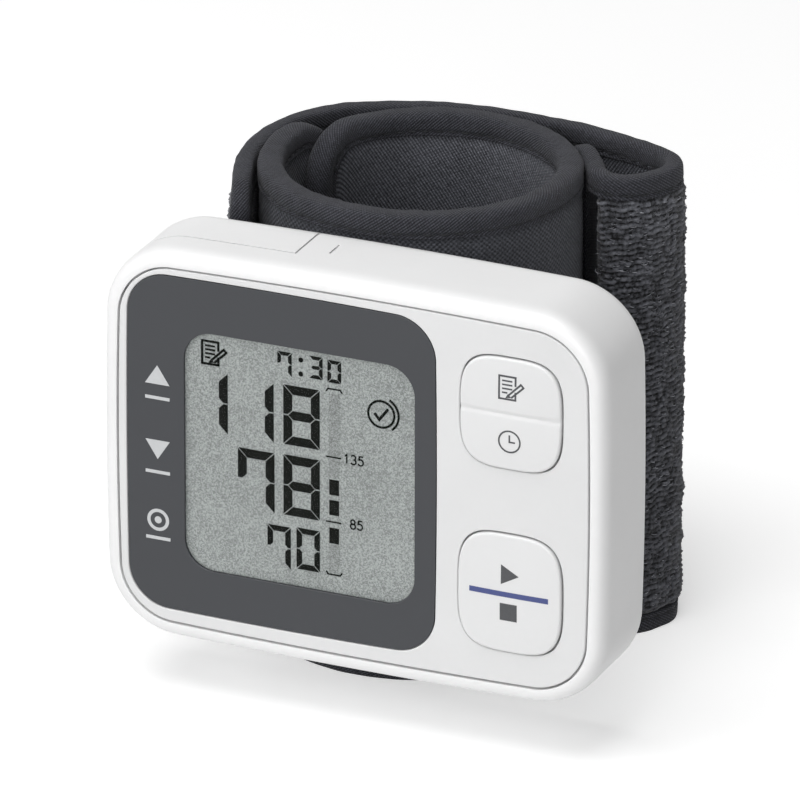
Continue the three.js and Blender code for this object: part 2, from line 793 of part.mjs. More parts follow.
addMesh(monitor, 'battery_1', toGeometry(buildCell(cell_1_x, true)), 'cell_blue');
addMesh(monitor, 'battery_2', toGeometry(buildCell(cell_2_x, false)), 'cell_blue');

const contact_outer = bay_half_height - seat_gap;
const contact_inner = contact_outer - contact_thickness;
const contact_half = contact_width / 2;
const bump_reach = contact_inner - cell_length / 2 - seat_gap;

function contactPlate(x0, x1, side, bump_x) {
  const low = Math.min(side * contact_inner, side * contact_outer);
  const plate = slab(x0, x1, cell_y - contact_half, cell_y + contact_half, low, low + contact_thickness);
  if (bump_x === null) return plate;
  const tip = side * (contact_inner - bump_reach);
  const root = side * (contact_inner + contact_thickness / 2);
  return plate.add(rodAlongZ(cell_nub_radius, Math.min(tip, root), Math.max(tip, root), bump_x, cell_y));
}

addMesh(monitor, 'battery_contact_top', toGeometry(
  contactPlate(cell_2_x - contact_half, cell_1_x + contact_half, 1, cell_1_x),
), 'steel');
addMesh(monitor, 'battery_contact_minus', toGeometry(
  contactPlate(cell_1_x - contact_half, cell_1_x + contact_half, -1, null),
), 'steel');
addMesh(monitor, 'battery_contact_plus', toGeometry(
  contactPlate(cell_2_x - contact_half, cell_2_x + contact_half, -1, cell_2_x),
), 'steel');

// Conical spring: a helix whose radius shrinks towards the cell.
class SpringCurve extends THREE.Curve {
  constructor(x, side) {
    super();
    this.x = x;
    this.side = side;
  }

  getPoint(t, target = new THREE.Vector3()) {
    const angle = 2 * Math.PI * spring_turns * t;
    const radius = THREE.MathUtils.lerp(spring_base_radius, spring_tip_radius, t);
    const start = contact_inner - seat_gap - spring_wire / 2;
    const end = start - spring_length + spring_wire + seat_gap;
    return target.set(
      this.x + radius * Math.cos(angle),
      cell_y + radius * Math.sin(angle),
      this.side * THREE.MathUtils.lerp(start, end, t),
    );
  }
}

function buildSpring(x, side) {
  const section = new THREE.Shape(roundOutline(spring_wire / 2, spring_sides));
  const extrudePath = new SpringCurve(x, side);
  const steps = spring_turns * spring_steps;
  return new THREE.ExtrudeGeometry(section, { steps, extrudePath, bevelEnabled: false });
}

addMesh(monitor, 'battery_spring_1', buildSpring(cell_1_x, -1), 'steel');
addMesh(monitor, 'battery_spring_2', buildSpring(cell_2_x, 1), 'steel');

// Battery cover: the rear left corner of the housing's form, open towards the cells

function buildBatteryCover() {
  const hollow = crownedPlate(grown(body_size, -cover_wall), -overrun, cover_inner_y);
  const region = slab(
    -half_x - overrun,
    cover_edge_x - seat_gap,
    cover_front_y + seat_gap,
    body_depth + overrun,
    -half_z - overrun,
    half_z + overrun,
  );
  return housing_form.subtract(hollow).intersect(region);
}

addMesh(monitor, 'battery_cover', toGeometry(buildBatteryCover()), 'white_gloss');

// Cuff curve: an oval spiral seen from above. It runs from the inner end at the left, round the back,
// the right and the front, and laps over its own start. Over that lap it grows by a cuff thickness and a gap.

const cuff_centre_x = saddle_x - cuff_saddle_offset;
const cuff_half = cuff_fabric + (3 * seat_gap + cuff_curler_thickness + cuff_bladder_thickness) / 2;
const cuff_binding_half = cuff_half + binding_proud;
const lap_growth = 2 * cuff_binding_half + seat_gap;

class CuffCurve extends THREE.Curve {
  constructor(startDeg, endDeg, growthShare = null) {
    super();
    this.startDeg = startDeg;
    this.endDeg = endDeg;
    this.growthShare = growthShare;
    this.arcLengthDivisions = 600;
  }

  getPoint(t, target = new THREE.Vector3()) {
    const degrees = THREE.MathUtils.lerp(this.startDeg, this.endDeg, t);
    const lap = (lap_start_deg - degrees) / (lap_start_deg - lap_end_deg);
    const share = this.growthShare ?? THREE.MathUtils.smoothstep(lap, 0, 1);
    const angle = THREE.MathUtils.degToRad(degrees);
    return target.set(
      cuff_centre_x + (cuff_half_width + share * lap_growth) * Math.cos(angle),
      cuff_centre_y + (cuff_half_depth + share * lap_growth) * Math.sin(angle),
      0,
    );
  }
}

// A strip of cloth bent along a curve. s is the distance along it, n the distance outwards from its
// middle, z the height. side is 1 when outwards lies to the right of the way along it, otherwise -1.
class Strip {
  constructor(curve, side) {
    this.curve = curve;
    this.side = side;
    this.length = curve.getLength();
  }

  at(s, n, z) {
    const t = THREE.MathUtils.clamp(s / this.length, 0, 1);
    const point = this.curve.getPointAt(t);
    const along = this.curve.getTangentAt(t);
    const extra = s - t * this.length;
    return new THREE.Vector3(
      point.x + along.x * extra + this.side * along.y * n,
      point.y + along.y * extra - this.side * along.x * n,
      z,
    );
  }
}

function cornerDrop(distance, radius) {
  const inside = THREE.MathUtils.clamp(radius - distance, 0, radius);
  return radius - Math.sqrt(radius ** 2 - inside ** 2);
}

// Distances along a strip: even columns, with more of them round each corner that has a radius.
function columnPlaces(s0, s1, startRadius, endRadius, columns) {
  const steps = 4;
  const places = [];
  const turn = (i) => 1 - Math.cos((Math.PI / 2) * (i / steps));
  for (let i = 0; i < steps && startRadius > 0; i += 1) places.push(s0 + startRadius * turn(i));
  const from = s0 + startRadius;
  const to = s1 - endRadius;
  const count = Math.max(2, Math.round((columns * (to - from)) / (s1 - s0)));
  for (let i = 0; i <= count; i += 1) places.push(from + ((to - from) * i) / count);
  for (let i = steps - 1; i >= 0 && endRadius > 0; i -= 1) places.push(s1 - endRadius * turn(i));
  return places;
}

// A flat layer of the strip between two faces, with rounded corners where its ends have a radius.
function panel(strip, layer) {
  const { s0, s1, n0, n1, z0, z1, startRadius = 0, endRadius = 0, columns } = layer;
  const rings = columnPlaces(s0, s1, startRadius, endRadius, columns).map((s) => {
    const drop = Math.max(cornerDrop(s - s0, startRadius), cornerDrop(s1 - s, endRadius));
    const corners = [[n0, z0 + drop], [n1, z0 + drop], [n1, z1 - drop], [n0, z1 - drop]];
    return corners.map(([n, z]) => strip.at(s, n, z));
  });
  return rightWayOut(loft(rings));
}

function rightWayOut(geometry) {
  const position = geometry.attributes.position;
  const index = geometry.index.array;
  const corner = [new THREE.Vector3(), new THREE.Vector3(), new THREE.Vector3()];
  let volume = 0;
  for (let i = 0; i < index.length; i += 3) {
    corner.forEach((vertex, j) => vertex.fromBufferAttribute(position, index[i + j]));
    volume += corner[0].dot(corner[1].cross(corner[2]));
  }
  if (volume < 0) {
    for (let i = 0; i < index.length; i += 3) {
      const first = index[i];
      index[i] = index[i + 1];
      index[i + 1] = first;
    }
  }
  geometry.computeVertexNormals();
  return geometry;
}

// Binding tape folded over an edge: a bar with a round outer side that follows the strip's border. The
// border is a list of places along the strip, each with its outward direction in the strip's own surface.
function binding(strip, border, half, leg, closed) {
  const roundSteps = 4;
  const section = [[-half - leg, -half]];
  for (let i = 0; i <= roundSteps; i += 1) {
    const angle = Math.PI * (i / roundSteps - 1 / 2);
    section.push([-half + half * Math.cos(angle), half * Math.sin(angle)]);
  }
  section.push([-half - leg, half]);
  const rings = border.map(({ s, z, outS, outZ }) => section.map(([out, n]) => (
    strip.at(s + out * outS, n, Math.max(z + out * outZ, 0))
  )));
  return rightWayOut(loft(rings, closed));
}

function cornerArc(s, z, radius, startAngle) {
  const steps = 4;
  return Array.from({ length: steps + 1 }, (_, i) => {
    const angle = startAngle + (Math.PI / 2) * (i / steps);
    const outS = Math.cos(angle);
    const outZ = Math.sin(angle);
    return { s: s + radius * outS, z: z + radius * outZ, outS, outZ };
  });
}

function edgeRun(from, to, z, outZ, columns) {
  return Array.from({ length: columns - 1 }, (_, i) => (
    { s: from + ((to - from) * (i + 1)) / columns, z, outS: 0, outZ }
  ));
}

// Border of a strip with two rounded ends, once round.
function loopBorder(s0, s1, z0, z1, radius, columns) {
  return [
    ...cornerArc(s0 + radius, z1 - radius, radius, Math.PI / 2).reverse(),
    ...edgeRun(s0 + radius, s1 - radius, z1, 1, columns),
    ...cornerArc(s1 - radius, z1 - radius, radius, 0).reverse(),
    ...cornerArc(s1 - radius, z0 + radius, radius, -Math.PI / 2).reverse(),
    ...edgeRun(s1 - radius, s0 + radius, z0, -1, columns),
    ...cornerArc(s0 + radius, z0 + radius, radius, Math.PI).reverse(),
  ];
}

// Border of a strip that is cut square at one end and rounded at the other, from the cut and back to it.
function hairpinBorder(cut, end, z0, z1, radius, columns) {
  const away = Math.sign(end - cut);
  const straight = end - away * radius;
  const turned = (arc) => arc.map((place) => (
    { ...place, s: straight + away * place.s, outS: away * place.outS }
  ));
  const upper = turned(cornerArc(0, z1 - radius, radius, 0)).reverse();
  const lower = turned(cornerArc(0, z0 + radius, radius, -Math.PI / 2)).reverse();
  return [
    { s: cut, z: z1, outS: 0, outZ: 1 },
    ...edgeRun(cut, straight, z1, 1, columns),
    ...upper,
    ...lower,
    ...edgeRun(straight, cut, z0, -1, columns),
    { s: cut, z: z0, outS: 0, outZ: -1 },
  ];
}

const cuff = new Strip(new CuffCurve(cuff_inner_end_deg, cuff_outer_end_deg), -1);
const cuff_layer_inset = cuff_binding_half + binding_leg + seat_gap;

function cuffLayer(n0, thickness, inset = cuff_layer_inset) {
  return panel(cuff, {
    s0: inset,
    s1: cuff.length - inset,
    n0,
    n1: n0 + thickness,
    z0: inset - foot_cut,
    z1: cuff_height - inset,
    startRadius: cuff_end_radius - inset,
    endRadius: cuff_end_radius - inset,
    columns: cuff_columns,
  });
}

const lining_n = -cuff_half;
const bladder_n = lining_n + cuff_fabric + seat_gap;
const curler_n = bladder_n + cuff_bladder_thickness + seat_gap;
const cover_n = curler_n + cuff_curler_thickness + seat_gap;
addMesh(model, 'cuff_inner_fabric', cuffLayer(lining_n, cuff_fabric), 'cuff_lining');
addMesh(model, 'air_bladder', cuffLayer(bladder_n, cuff_bladder_thickness), 'silicone');
addMesh(model, 'cuff_curler', cuffLayer(curler_n, cuff_curler_thickness), 'black_plastic');
addMesh(model, 'cuff_outer_fabric', cuffLayer(cover_n, cuff_fabric), 'cuff_nylon');
addMesh(model, 'cuff_binding', binding(
  cuff,
  loopBorder(0, cuff.length, -foot_cut, cuff_height, cuff_end_radius, cuff_columns),
  cuff_binding_half,
  binding_leg,
  true,
), 'binding_twill');

// Strap route, seen from above. It starts where the strap is sewn in beside the cuff's right side, turns
// back through the fold at the far right, and follows the cuff round the back and the left.
// fold_shares: shares of fold_reach to the right and of fold_back to the rear, both from the cuff's middle.
// lap_shares: how far the strap stands off the cuff's inner turn, in cuff laps, by angle.

const strap_beside_cuff = cuff_binding_half + strap_binding_half + strap_rub_gap;
const tuck_degrees = [54, 40, 27];
const fold_shares = [
  [0.712, 0.41], [0.8, 0.335], [0.895, 0.385], [0.965, 0.53], [1, 0.72],
  [0.955, 0.9], [0.83, 1.02], [0.63, 1.125], [0.455, 1.19],
];
const lap_shares = [
  [70, 0.41], [81, 0.22], [92, 0.13], [104, 0.14], [114, 0.22], [125, 0.38], [135, 0.6], [145, 0.83],
  [156, 0.99], [170, 1.01], [183, 1.01], [196, 1.03], [206, 1.1], [215, 1.29], [224, 1.66],
];

function besideInnerTurn(degrees, lapShare) {
  const curve = new CuffCurve(degrees, degrees - 1, 0);
  const point = curve.getPoint(0);
  const along = curve.getPoint(1).sub(point).normalize();
  const reach = strap_beside_cuff + lapShare * lap_growth;
  return new THREE.Vector3(point.x - along.y * reach, point.y + along.x * reach, 0);
}

const strap_route = [
  ...tuck_degrees.map((degrees) => besideInnerTurn(degrees, 0)),
  ...fold_shares.map(([x, y]) => (
    new THREE.Vector3(cuff_centre_x + x * fold_reach, cuff_centre_y + y * fold_back, 0)
  )),
  ...lap_shares.map(([degrees, share]) => besideInnerTurn(degrees, share)),
];
const strap_curve = new THREE.CatmullRomCurve3(strap_route, false, 'centripetal');
strap_curve.arcLengthDivisions = 600;
const strap = new Strip(strap_curve, 1);
const hinge_s = strap.length * strap_hinge_share;
const web_inset = strap_binding_half + strap_binding_leg + seat_gap;
const web_z0 = web_inset - foot_cut;
const web_z1 = strap_height - web_inset;
const web_radius = Math.max(strap_end_radius - web_inset, 0);

function columnsOver(length) {
  return Math.round((strap_columns * length) / strap.length);
}

function strapLayer(s0, s1, n0, n1, startRadius, endRadius) {
  const columns = columnsOver(s1 - s0);
  return panel(strap, { s0, s1, n0, n1, z0: web_z0, z1: web_z1, startRadius, endRadius, columns });
}

const fixed_cut = hinge_s - seat_gap / 2;
const tail_cut = hinge_s + seat_gap / 2;
const web_n1 = -strap_half + strap_web_thickness;
const strap_web = strapLayer(web_inset, fixed_cut, -strap_half, web_n1, web_radius, 0);
addMesh(model, 'strap_web', strap_web, 'cuff_nylon');
addMesh(model, 'strap_pile', strapLayer(
  strap.length * pile_start_share,
  fixed_cut,
  strap_pile_inner,
  strap_pile_outer,
  0,
  0,
), 'terry');
addMesh(model, 'strap_binding', binding(
  strap,
  hairpinBorder(fixed_cut, 0, -foot_cut, strap_height, strap_end_radius, columnsOver(fixed_cut)),
  strap_binding_half,
  strap_binding_leg,
  false,
), 'binding_twill');

// Tail of the strap: it swings open about the line where it leaves the fixed part

const tail_end = strap.length - web_inset;
const hook_start = tail_end - hook_tab_length;
const tail_columns = columnsOver(tail_end - tail_cut);
const tail_web = strapLayer(tail_cut, hook_start - seat_gap, -strap_half, web_n1, 0, 0);
const hook_tab = strapLayer(hook_start, tail_end, -strap_half, web_n1, 0, web_radius);
const tail_pile = strapLayer(tail_cut, tail_end, strap_pile_inner, strap_pile_outer, 0, web_radius);
addMesh(model, 'tail_web', tail_web, 'cuff_nylon');
addMesh(model, 'hook_tab', hook_tab, 'hook_black');
addMesh(model, 'tail_pile', tail_pile, 'terry');
addMesh(model, 'tail_binding', binding(
  strap,
  hairpinBorder(tail_cut, strap.length, -foot_cut, strap_height, strap_end_radius, tail_columns),
  strap_binding_half,
  strap_binding_leg,
  false,
), 'binding_twill');

// Rear cover with a sunk tub for the saddle

const tub_front_y = body_depth - saddle_sink - tub_floor;
const tub_back_y = body_depth - saddle_sink;
const saddle_screw_x = saddle_x + saddle_width / 2 - saddle_screw_inset;
const saddle_size = {
  width: saddle_width, height: saddle_height, radius: saddle_radius, bow: 0, x: saddle_x,
};

function buildRearCover() {
  const plate = crownedPlate(rear_cover_size, back_inner_y, body_depth);
  const tub = crownedPlate(grown(saddle_size, seat_gap + tub_wall), tub_front_y, body_depth);
  const trough = crownedPlate(grown(saddle_size, seat_gap), tub_back_y, body_depth + overrun);
  const behind_y = body_depth + overrun;
  const head_seat_y = body_depth - screw_head_height - seat_gap;
  const holes = cover_screw_places.flatMap(([x, z]) => [
    rodAlongY(screw_radius + seat_gap, back_inner_y - overrun, behind_y, x, z, small_round_steps),
    rodAlongY(screw_head_radius + seat_gap, head_seat_y, behind_y, x, z),
  ]);
  const saddle_holes = [1, -1].map((side) => rodAlongY(
    screw_radius + seat_gap,
    tub_front_y - overrun,
    behind_y,
    saddle_screw_x,
    side * saddle_screw_z,
    small_round_steps,
  ));
  const nipple_hole_radius = nipple_radius + seat_gap;
  const nipple_hole = rodAlongY(nipple_hole_radius, tub_front_y - overrun, behind_y, nipple_x, nipple_z);
  return cutAll(plate.add(tub), [trough, ...holes, ...saddle_holes, nipple_hole]);
}

// Space that the cuff's front wall takes up, with the gap to the saddle
function cuffFront(clearance) {
  const steps = 30;
  const front = new Strip(new CuffCurve(0, -180), -1);
  const points = Array.from({ length: steps + 1 }, (_, i) => {
    const point = front.at((front.length * i) / steps, cuff_binding_half + clearance, 0);
    return new THREE.Vector2(point.x, point.y);
  });
  const shape = new THREE.Shape(points);
  const prism = new THREE.ExtrudeGeometry(shape, { depth: 2 * body_height, bevelEnabled: false });
  prism.translate(0, 0, -body_height);
  return toSolid(prism);
}

function buildSaddle() {
  const block = crownedPlate(saddle_size, tub_back_y + seat_gap, body_depth + saddle_reach);
  const holes = [1, -1].map((side) => rodAlongY(
    screw_radius + seat_gap,
    tub_back_y - overrun,
    saddle_screw_end + seat_gap,
    saddle_screw_x,
    side * saddle_screw_z,
    small_round_steps,
  ));
  const bore_y1 = body_depth + saddle_reach + overrun;
  const bore = rodAlongY(nipple_radius + seat_gap, tub_back_y - overrun, bore_y1, nipple_x, nipple_z);
  return cutAll(block, [cuffFront(seat_gap), ...holes, bore]);
}

// Pan-head screw along Y with a cross recess; its head is at the end that way points to
function buildScrew(x, z, head_y, way, length) {
  const tip = head_y - way * length;
  const head_bottom = head_y - way * screw_head_height;
  const shank = rodAlongY(
    screw_radius,
    Math.min(tip, head_bottom),
    Math.max(tip, head_bottom),
    x,
    z,
    small_round_steps,
  );
  const [head_y0, head_y1] = [Math.min(head_y, head_bottom), Math.max(head_y, head_bottom)];
  const head = rodAlongY(screw_head_radius, head_y0, head_y1, x, z);
  const floor_y = head_y - way * screw_recess_depth;
  const far_y = head_y + way * overrun;
  const [low, high] = [Math.min(floor_y, far_y), Math.max(floor_y, far_y)];
  const slot_half = screw_recess_radius / 4;
  const slots = [
    slab(x - screw_recess_radius, x + screw_recess_radius, low, high, z - slot_half, z + slot_half),
    slab(x - slot_half, x + slot_half, low, high, z - screw_recess_radius, z + screw_recess_radius),
  ];
  return cutAll(shank.add(head), slots);
}

const saddle_screw_length = tub_floor + seat_gap + screw_head_height + 2 * screw_radius;
const saddle_screw_head_y = tub_front_y - seat_gap - screw_head_height;
const saddle_screw_end = saddle_screw_head_y + saddle_screw_length;
addMesh(monitor, 'rear_cover', toGeometry(buildRearCover()), 'white_gloss');
addMesh(monitor, 'cuff_saddle', toGeometry(buildSaddle()), 'black_plastic');
cover_screw_places.forEach(([x, z], i) => {
  const screw = buildScrew(x, z, body_depth, 1, screw_length);
  addMesh(monitor, `housing_screw_${i + 1}`, toGeometry(screw), 'steel');
});
[1, -1].forEach((side, i) => {
  const z = side * saddle_screw_z;
  const screw = buildScrew(saddle_screw_x, z, saddle_screw_head_y, -1, saddle_screw_length);
  addMesh(monitor, `saddle_screw_${i + 1}`, toGeometry(screw), 'steel');
});

const nipple_y0 = manifold_y1 + seat_gap;
const nipple_y1 = body_depth + saddle_reach;
const nipple_outer = rodAlongY(nipple_radius, nipple_y0, nipple_y1, nipple_x, nipple_z);
const nipple_hollow = rodAlongY(nipple_bore, nipple_y0 - overrun, nipple_y1, nipple_x, nipple_z);
const air_nipple = cutAll(nipple_outer, [cuffFront(seat_gap), nipple_hollow]);
addMesh(monitor, 'air_nipple', toGeometry(air_nipple), 'black_plastic');

// Origin: the middle of the footprint, at the height that it stands on

const extent = new THREE.Box3().setFromObject(model);
model.position.x = -(extent.min.x + extent.max.x) / 2;
model.position.y = -(extent.min.y + extent.max.y) / 2;
model.updateMatrixWorld(true);

export default model;
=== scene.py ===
import bmesh
import bpy
import numpy as np
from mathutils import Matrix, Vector


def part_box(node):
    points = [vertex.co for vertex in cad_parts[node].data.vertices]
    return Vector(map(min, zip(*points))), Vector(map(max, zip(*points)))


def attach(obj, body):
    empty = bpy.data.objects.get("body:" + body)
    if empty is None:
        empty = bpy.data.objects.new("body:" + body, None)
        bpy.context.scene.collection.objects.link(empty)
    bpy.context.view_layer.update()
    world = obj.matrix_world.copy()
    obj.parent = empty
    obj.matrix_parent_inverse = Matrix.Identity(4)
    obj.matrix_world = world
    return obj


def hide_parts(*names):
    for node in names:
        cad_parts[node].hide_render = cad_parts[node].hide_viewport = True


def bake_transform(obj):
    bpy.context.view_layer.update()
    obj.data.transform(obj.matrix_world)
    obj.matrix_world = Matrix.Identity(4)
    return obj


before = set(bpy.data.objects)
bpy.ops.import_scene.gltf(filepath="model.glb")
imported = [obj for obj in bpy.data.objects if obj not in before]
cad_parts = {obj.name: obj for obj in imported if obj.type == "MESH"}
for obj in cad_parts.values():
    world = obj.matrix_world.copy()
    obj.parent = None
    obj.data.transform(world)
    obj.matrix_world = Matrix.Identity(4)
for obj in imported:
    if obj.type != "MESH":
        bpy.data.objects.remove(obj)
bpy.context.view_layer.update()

# Camera: to the right of the monitor's front, looking down on it as it stands on a table. It is far away
# behind a long lens, so that the housing keeps nearly parallel sides.

MM = 0.001
camera_distance = 1.61
view_turn, view_height = np.radians(24.0), np.radians(23.5)
view_way = Vector((np.sin(view_turn) * np.cos(view_height), -np.cos(view_turn) * np.cos(view_height),
                   np.sin(view_height)))
looked_at = Vector((0, -32.607, 39.2)) * MM


def placed(name, data):
    """A new object in the scene."""
    made = bpy.data.objects.new(name, data)
    bpy.context.scene.collection.objects.link(made)
    return made


camera_lens = bpy.data.cameras.new("camera")
camera_lens.lens = 515.8
camera_lens.sensor_width = 36
camera_lens.shift_x = 0.0609
camera_lens.shift_y = 0.0962
camera_lens.clip_end = 20
camera = placed("camera", camera_lens)
camera.location = looked_at + camera_distance * view_way
camera.rotation_euler = view_way.to_track_quat("Z", "Y").to_euler()
bpy.context.scene.camera = camera
bpy.context.scene.view_settings.view_transform = "Standard"

# Light and floor: soft boxes above and at both sides over a white table. The table is a little brighter
# to the camera and in reflections than its own light makes it, so that it ends up white with a soft shadow.

lamp_target = Vector((0, 0, 0.03))
for name, place, size, power in [
    ("lamp_over", (-0.05, -0.25, 0.9), 0.7, 6.3),
    ("lamp_left", (-0.8, -0.7, 0.45), 0.6, 3.7),
    ("lamp_right", (0.3, -1.1, 0.35), 0.6, 5.0),
]:
    panel = bpy.data.lights.new(name, "AREA")
    panel.size = size
    panel.energy = power
    lamp = placed(name, panel)
    lamp.location = place
    lamp.rotation_euler = (Vector(place) - lamp_target).to_track_quat("Z", "Y").to_euler()


class Wire:
    """An output of a shader node. Sums, differences and products of wires and numbers add the Math node
    that works them out."""

    def __init__(self, finish, socket):
        self.finish = finish
        self.socket = socket

    def worked(self, operation, first, second):
        return self.finish.node("ShaderNodeMath", {"operation": operation}, {0: first, 1: second})

    def __add__(self, other):
        return self.worked("ADD", self, other)

    def __sub__(self, other):
        return self.worked("SUBTRACT", self, other)

    def __rsub__(self, other):
        return self.worked("SUBTRACT", other, self)

    def __mul__(self, other):
        return self.worked("MULTIPLY", self, other)

    __radd__, __rmul__ = __add__, __mul__


class Finish:
    """A material and its node tree. node() adds any node from its type, its settings and its sockets."""

    def __init__(self, name, tree=None):
        if tree is None:
            self.material = bpy.data.materials.new(name)
            self.material.use_nodes = True
            tree = self.material.node_tree
        self.tree = tree
        self.tree.nodes.clear()

    def node(self, kind, settings=(), sockets=(), output=0):
        made = self.tree.nodes.new(kind)
        for key, value in dict(settings).items():
            setattr(made, key, value)
        for key, value in dict(sockets).items():
            if isinstance(value, Wire):
                self.tree.links.new(value.socket, made.inputs[key])
            else:
                made.inputs[key].default_value = value
        return Wire(self, made.outputs[output]) if len(made.outputs) else made


def over(finish, low, high, value):
    """0 where value is under low, 1 where it is over high, and a straight line between."""
    return finish.node("ShaderNodeMapRange", {}, {0: value, 1: low, 2: high, 3: 0.0, 4: 1.0})


def tinted(finish, factor, first, second):
    """The first colour where factor is 0 and the second where it is 1."""
    sockets = {0: factor, 6: first if isinstance(first, Wire) else (*first, 1),
               7: second if isinstance(second, Wire) else (*second, 1)}
    return finish.node("ShaderNodeMix", {"data_type": "RGBA"}, sockets, 2)


def speckle(finish, size, detail=2.0, rough=0.5):
    """Noise whose spots are about size millimetres across, read at the object's own coordinates."""
    where = finish.node("ShaderNodeTexCoord", output="Object")
    sockets = {"Vector": where, "Scale": 1000.0 / size, "Detail": detail, "Roughness": rough}
    return finish.node("ShaderNodeTexNoise", {}, sockets)


def raised(finish, height, depth):
    """The surface normal of a relief of that depth in millimetres."""
    return finish.node("ShaderNodeBump", {}, {"Height": height, "Distance": depth * MM, "Strength": 1.0})


def finished(finish, sockets):
    """The material, with these values and wires on its Principled shader."""
    shader = finish.node("ShaderNodeBsdfPrincipled", {}, sockets)
    finish.node("ShaderNodeOutputMaterial", {}, {"Surface": shader})
    return finish.material


def looks(finish):
    """1 for rays that come from the camera, from gloss or through glass, and 0 for all others."""
    rays = ("Is Camera Ray", "Is Glossy Ray", "Is Transmission Ray")
    return sum(finish.node("ShaderNodeLightPath", output=ray) for ray in rays)


table_paint = Finish("table_white")
shadow_catching = table_paint.node("ShaderNodeBsdfDiffuse", {}, {"Color": (0.82, 0.82, 0.82, 1)})
lift = table_paint.node("ShaderNodeEmission", {}, {"Strength": looks(table_paint) * 0.47})
floor_shader = table_paint.node("ShaderNodeAddShader", {}, {0: shadow_catching, 1: lift})
table_paint.node("ShaderNodeOutputMaterial", {}, {"Surface": floor_shader})

floor_mesh = bpy.data.meshes.new("floor")
floor_mesh.from_pydata([(-4, -4, 0), (4, -4, 0), (4, 4, 0), (-4, 4, 0)], [], [(0, 1, 2, 3)])
floor_mesh.materials.append(table_paint.material)
floor = placed("floor", floor_mesh)

world = bpy.data.worlds.new("studio")
bpy.context.scene.world = world
world.use_nodes = True
room = Finish("studio", world.node_tree)
room_strength = looks(room) * 0.96 + 0.04
room_light = room.node("ShaderNodeBackground", {}, {"Color": (1, 1, 1, 1), "Strength": room_strength})
room.node("ShaderNodeOutputWorld", {}, {"Surface": room_light})

# Front shell: the white ABS moulding that everything is built into. Its rim is rounded over to the front
# and its sides bow out a little. It is open at the front for the panel, behind for the rear cover, and at
# the rear left corner for the battery cover. The surface is fine satin with the faintest moulding grain.

shell_low, shell_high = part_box("main_housing")
front_y, middle_z = shell_low.y / MM, (shell_low.z + shell_high.z) / 2 / MM
body_base = (0, front_y, middle_z)
half_x, half_z, body_depth, body_bow = 38.8, 30.15, 17.0, 0.6
corner_radius, rim_inset, rim_depth, rim_power, back_radius = 10.5, 2.4, 3.5, 0.72, 3.5
seam, shell_wall = 0.3, 1.8
cover_edge_x, cover_front_y = -11.1, 5.9


def rounded_outline(width, height, radius, bow=0.0, x=0.0, z=0.0, corner=20, side=24):
    """A rounded rectangle as rows of (x, z). Its corners are quarter circles and its sides straight lines.
    Then x shrinks by the bow times the square of the share of the height, and z by the bow times the
    square of the share of the width, so that the sides swell towards their middles."""
    turn = np.linspace(0, np.pi / 2, corner + 1)
    arc_x = width / 2 - radius + radius * np.cos(turn)
    arc_z = height / 2 - radius + radius * np.sin(turn)
    arcs = [(arc_x, arc_z), (-arc_x[::-1], arc_z[::-1]), (-arc_x, -arc_z), (arc_x[::-1], -arc_z[::-1])]
    parts = []
    for (ax, az), (bx, bz) in zip(arcs, arcs[1:] + arcs[:1]):
        parts.append(np.stack([ax, az], -1))
        parts.append(np.linspace((ax[-1], az[-1]), (bx[0], bz[0]), side + 1)[1:-1])
    px, pz = np.concatenate(parts).T
    swell_x = 1 - 2 * bow / width * (2 * pz / height) ** 2
    swell_z = 1 - 2 * bow / height * (2 * px / width) ** 2
    return np.stack([px * swell_x + x, pz * swell_z + z], -1)


def at_depth(outline, y):
    """The outline as a ring of points (x, y, z) at one depth, or at a depth for each of its points."""
    return np.stack([outline[:, 0], np.broadcast_to(y, len(outline)), outline[:, 1]], -1)


def meshed(name, points, faces, base, outwards=True, smooth=True, places=()):
    """A new piece from points in millimetres. outwards turns every face the right way round. places are UV
    coordinates in metres for the corners of the first faces."""
    mesh = bpy.data.meshes.new(name)
    mesh.from_pydata((points + np.array(base)) * MM, [], faces)
    if len(places):
        corners = np.zeros((len(mesh.loops), 2), np.float32)
        corners[:len(places)] = places
        mesh.uv_layers.new(name="cloth").data.foreach_set("uv", corners.ravel())
    if outwards:
        shell = bmesh.new()
        shell.from_mesh(mesh)
        bmesh.ops.recalc_face_normals(shell, faces=shell.faces)
        shell.to_mesh(mesh)
        shell.free()
    if smooth:
        mesh.shade_smooth()
    return placed(name, mesh)


def skin(name, grid, base=(0, 0, 0), wrap=(False, True), caps=True, lines=None, flip=False):
    """Mesh of a grid of points: each point joins the next in its row and in its column. wrap closes the grid
    along its rows or its columns, and caps closes the first and the last row. lines are the UV coordinates,
    in metres, of its columns and of its rows."""
    rows, columns = grid.shape[:2]
    i, j = np.meshgrid(np.arange(rows - 1 + wrap[0]), np.arange(columns - 1 + wrap[1]), indexing="ij")
    corners = [(i, j), (i, j + 1), (i + 1, j + 1), (i + 1, j)][::-1 if flip else 1]
    faces = [row % rows * columns + column % columns for row, column in corners]
    faces = np.stack(faces, -1).reshape(-1, 4).tolist()
    if caps and not wrap[0]:
        faces.append(list(range(columns))[::-1])
        faces.append(list(range((rows - 1) * columns, rows * columns)))
    places = []
    if lines is not None:
        places = np.stack([(lines[0][column], lines[1][row]) for row, column in corners])
        places = places.transpose(2, 3, 0, 1).reshape(-1, 2)
    return meshed(name, grid.reshape(-1, 3), faces, base, wrap[1] and (caps or wrap[0]), places=places)


def baked(piece):
    """The piece with its modifiers worked into its mesh."""
    seen_piece = piece.evaluated_get(bpy.context.evaluated_depsgraph_get())
    mesh = bpy.data.meshes.new_from_object(seen_piece)
    mesh.name = piece.name
    piece.modifiers.clear()
    piece.data = mesh
    return piece


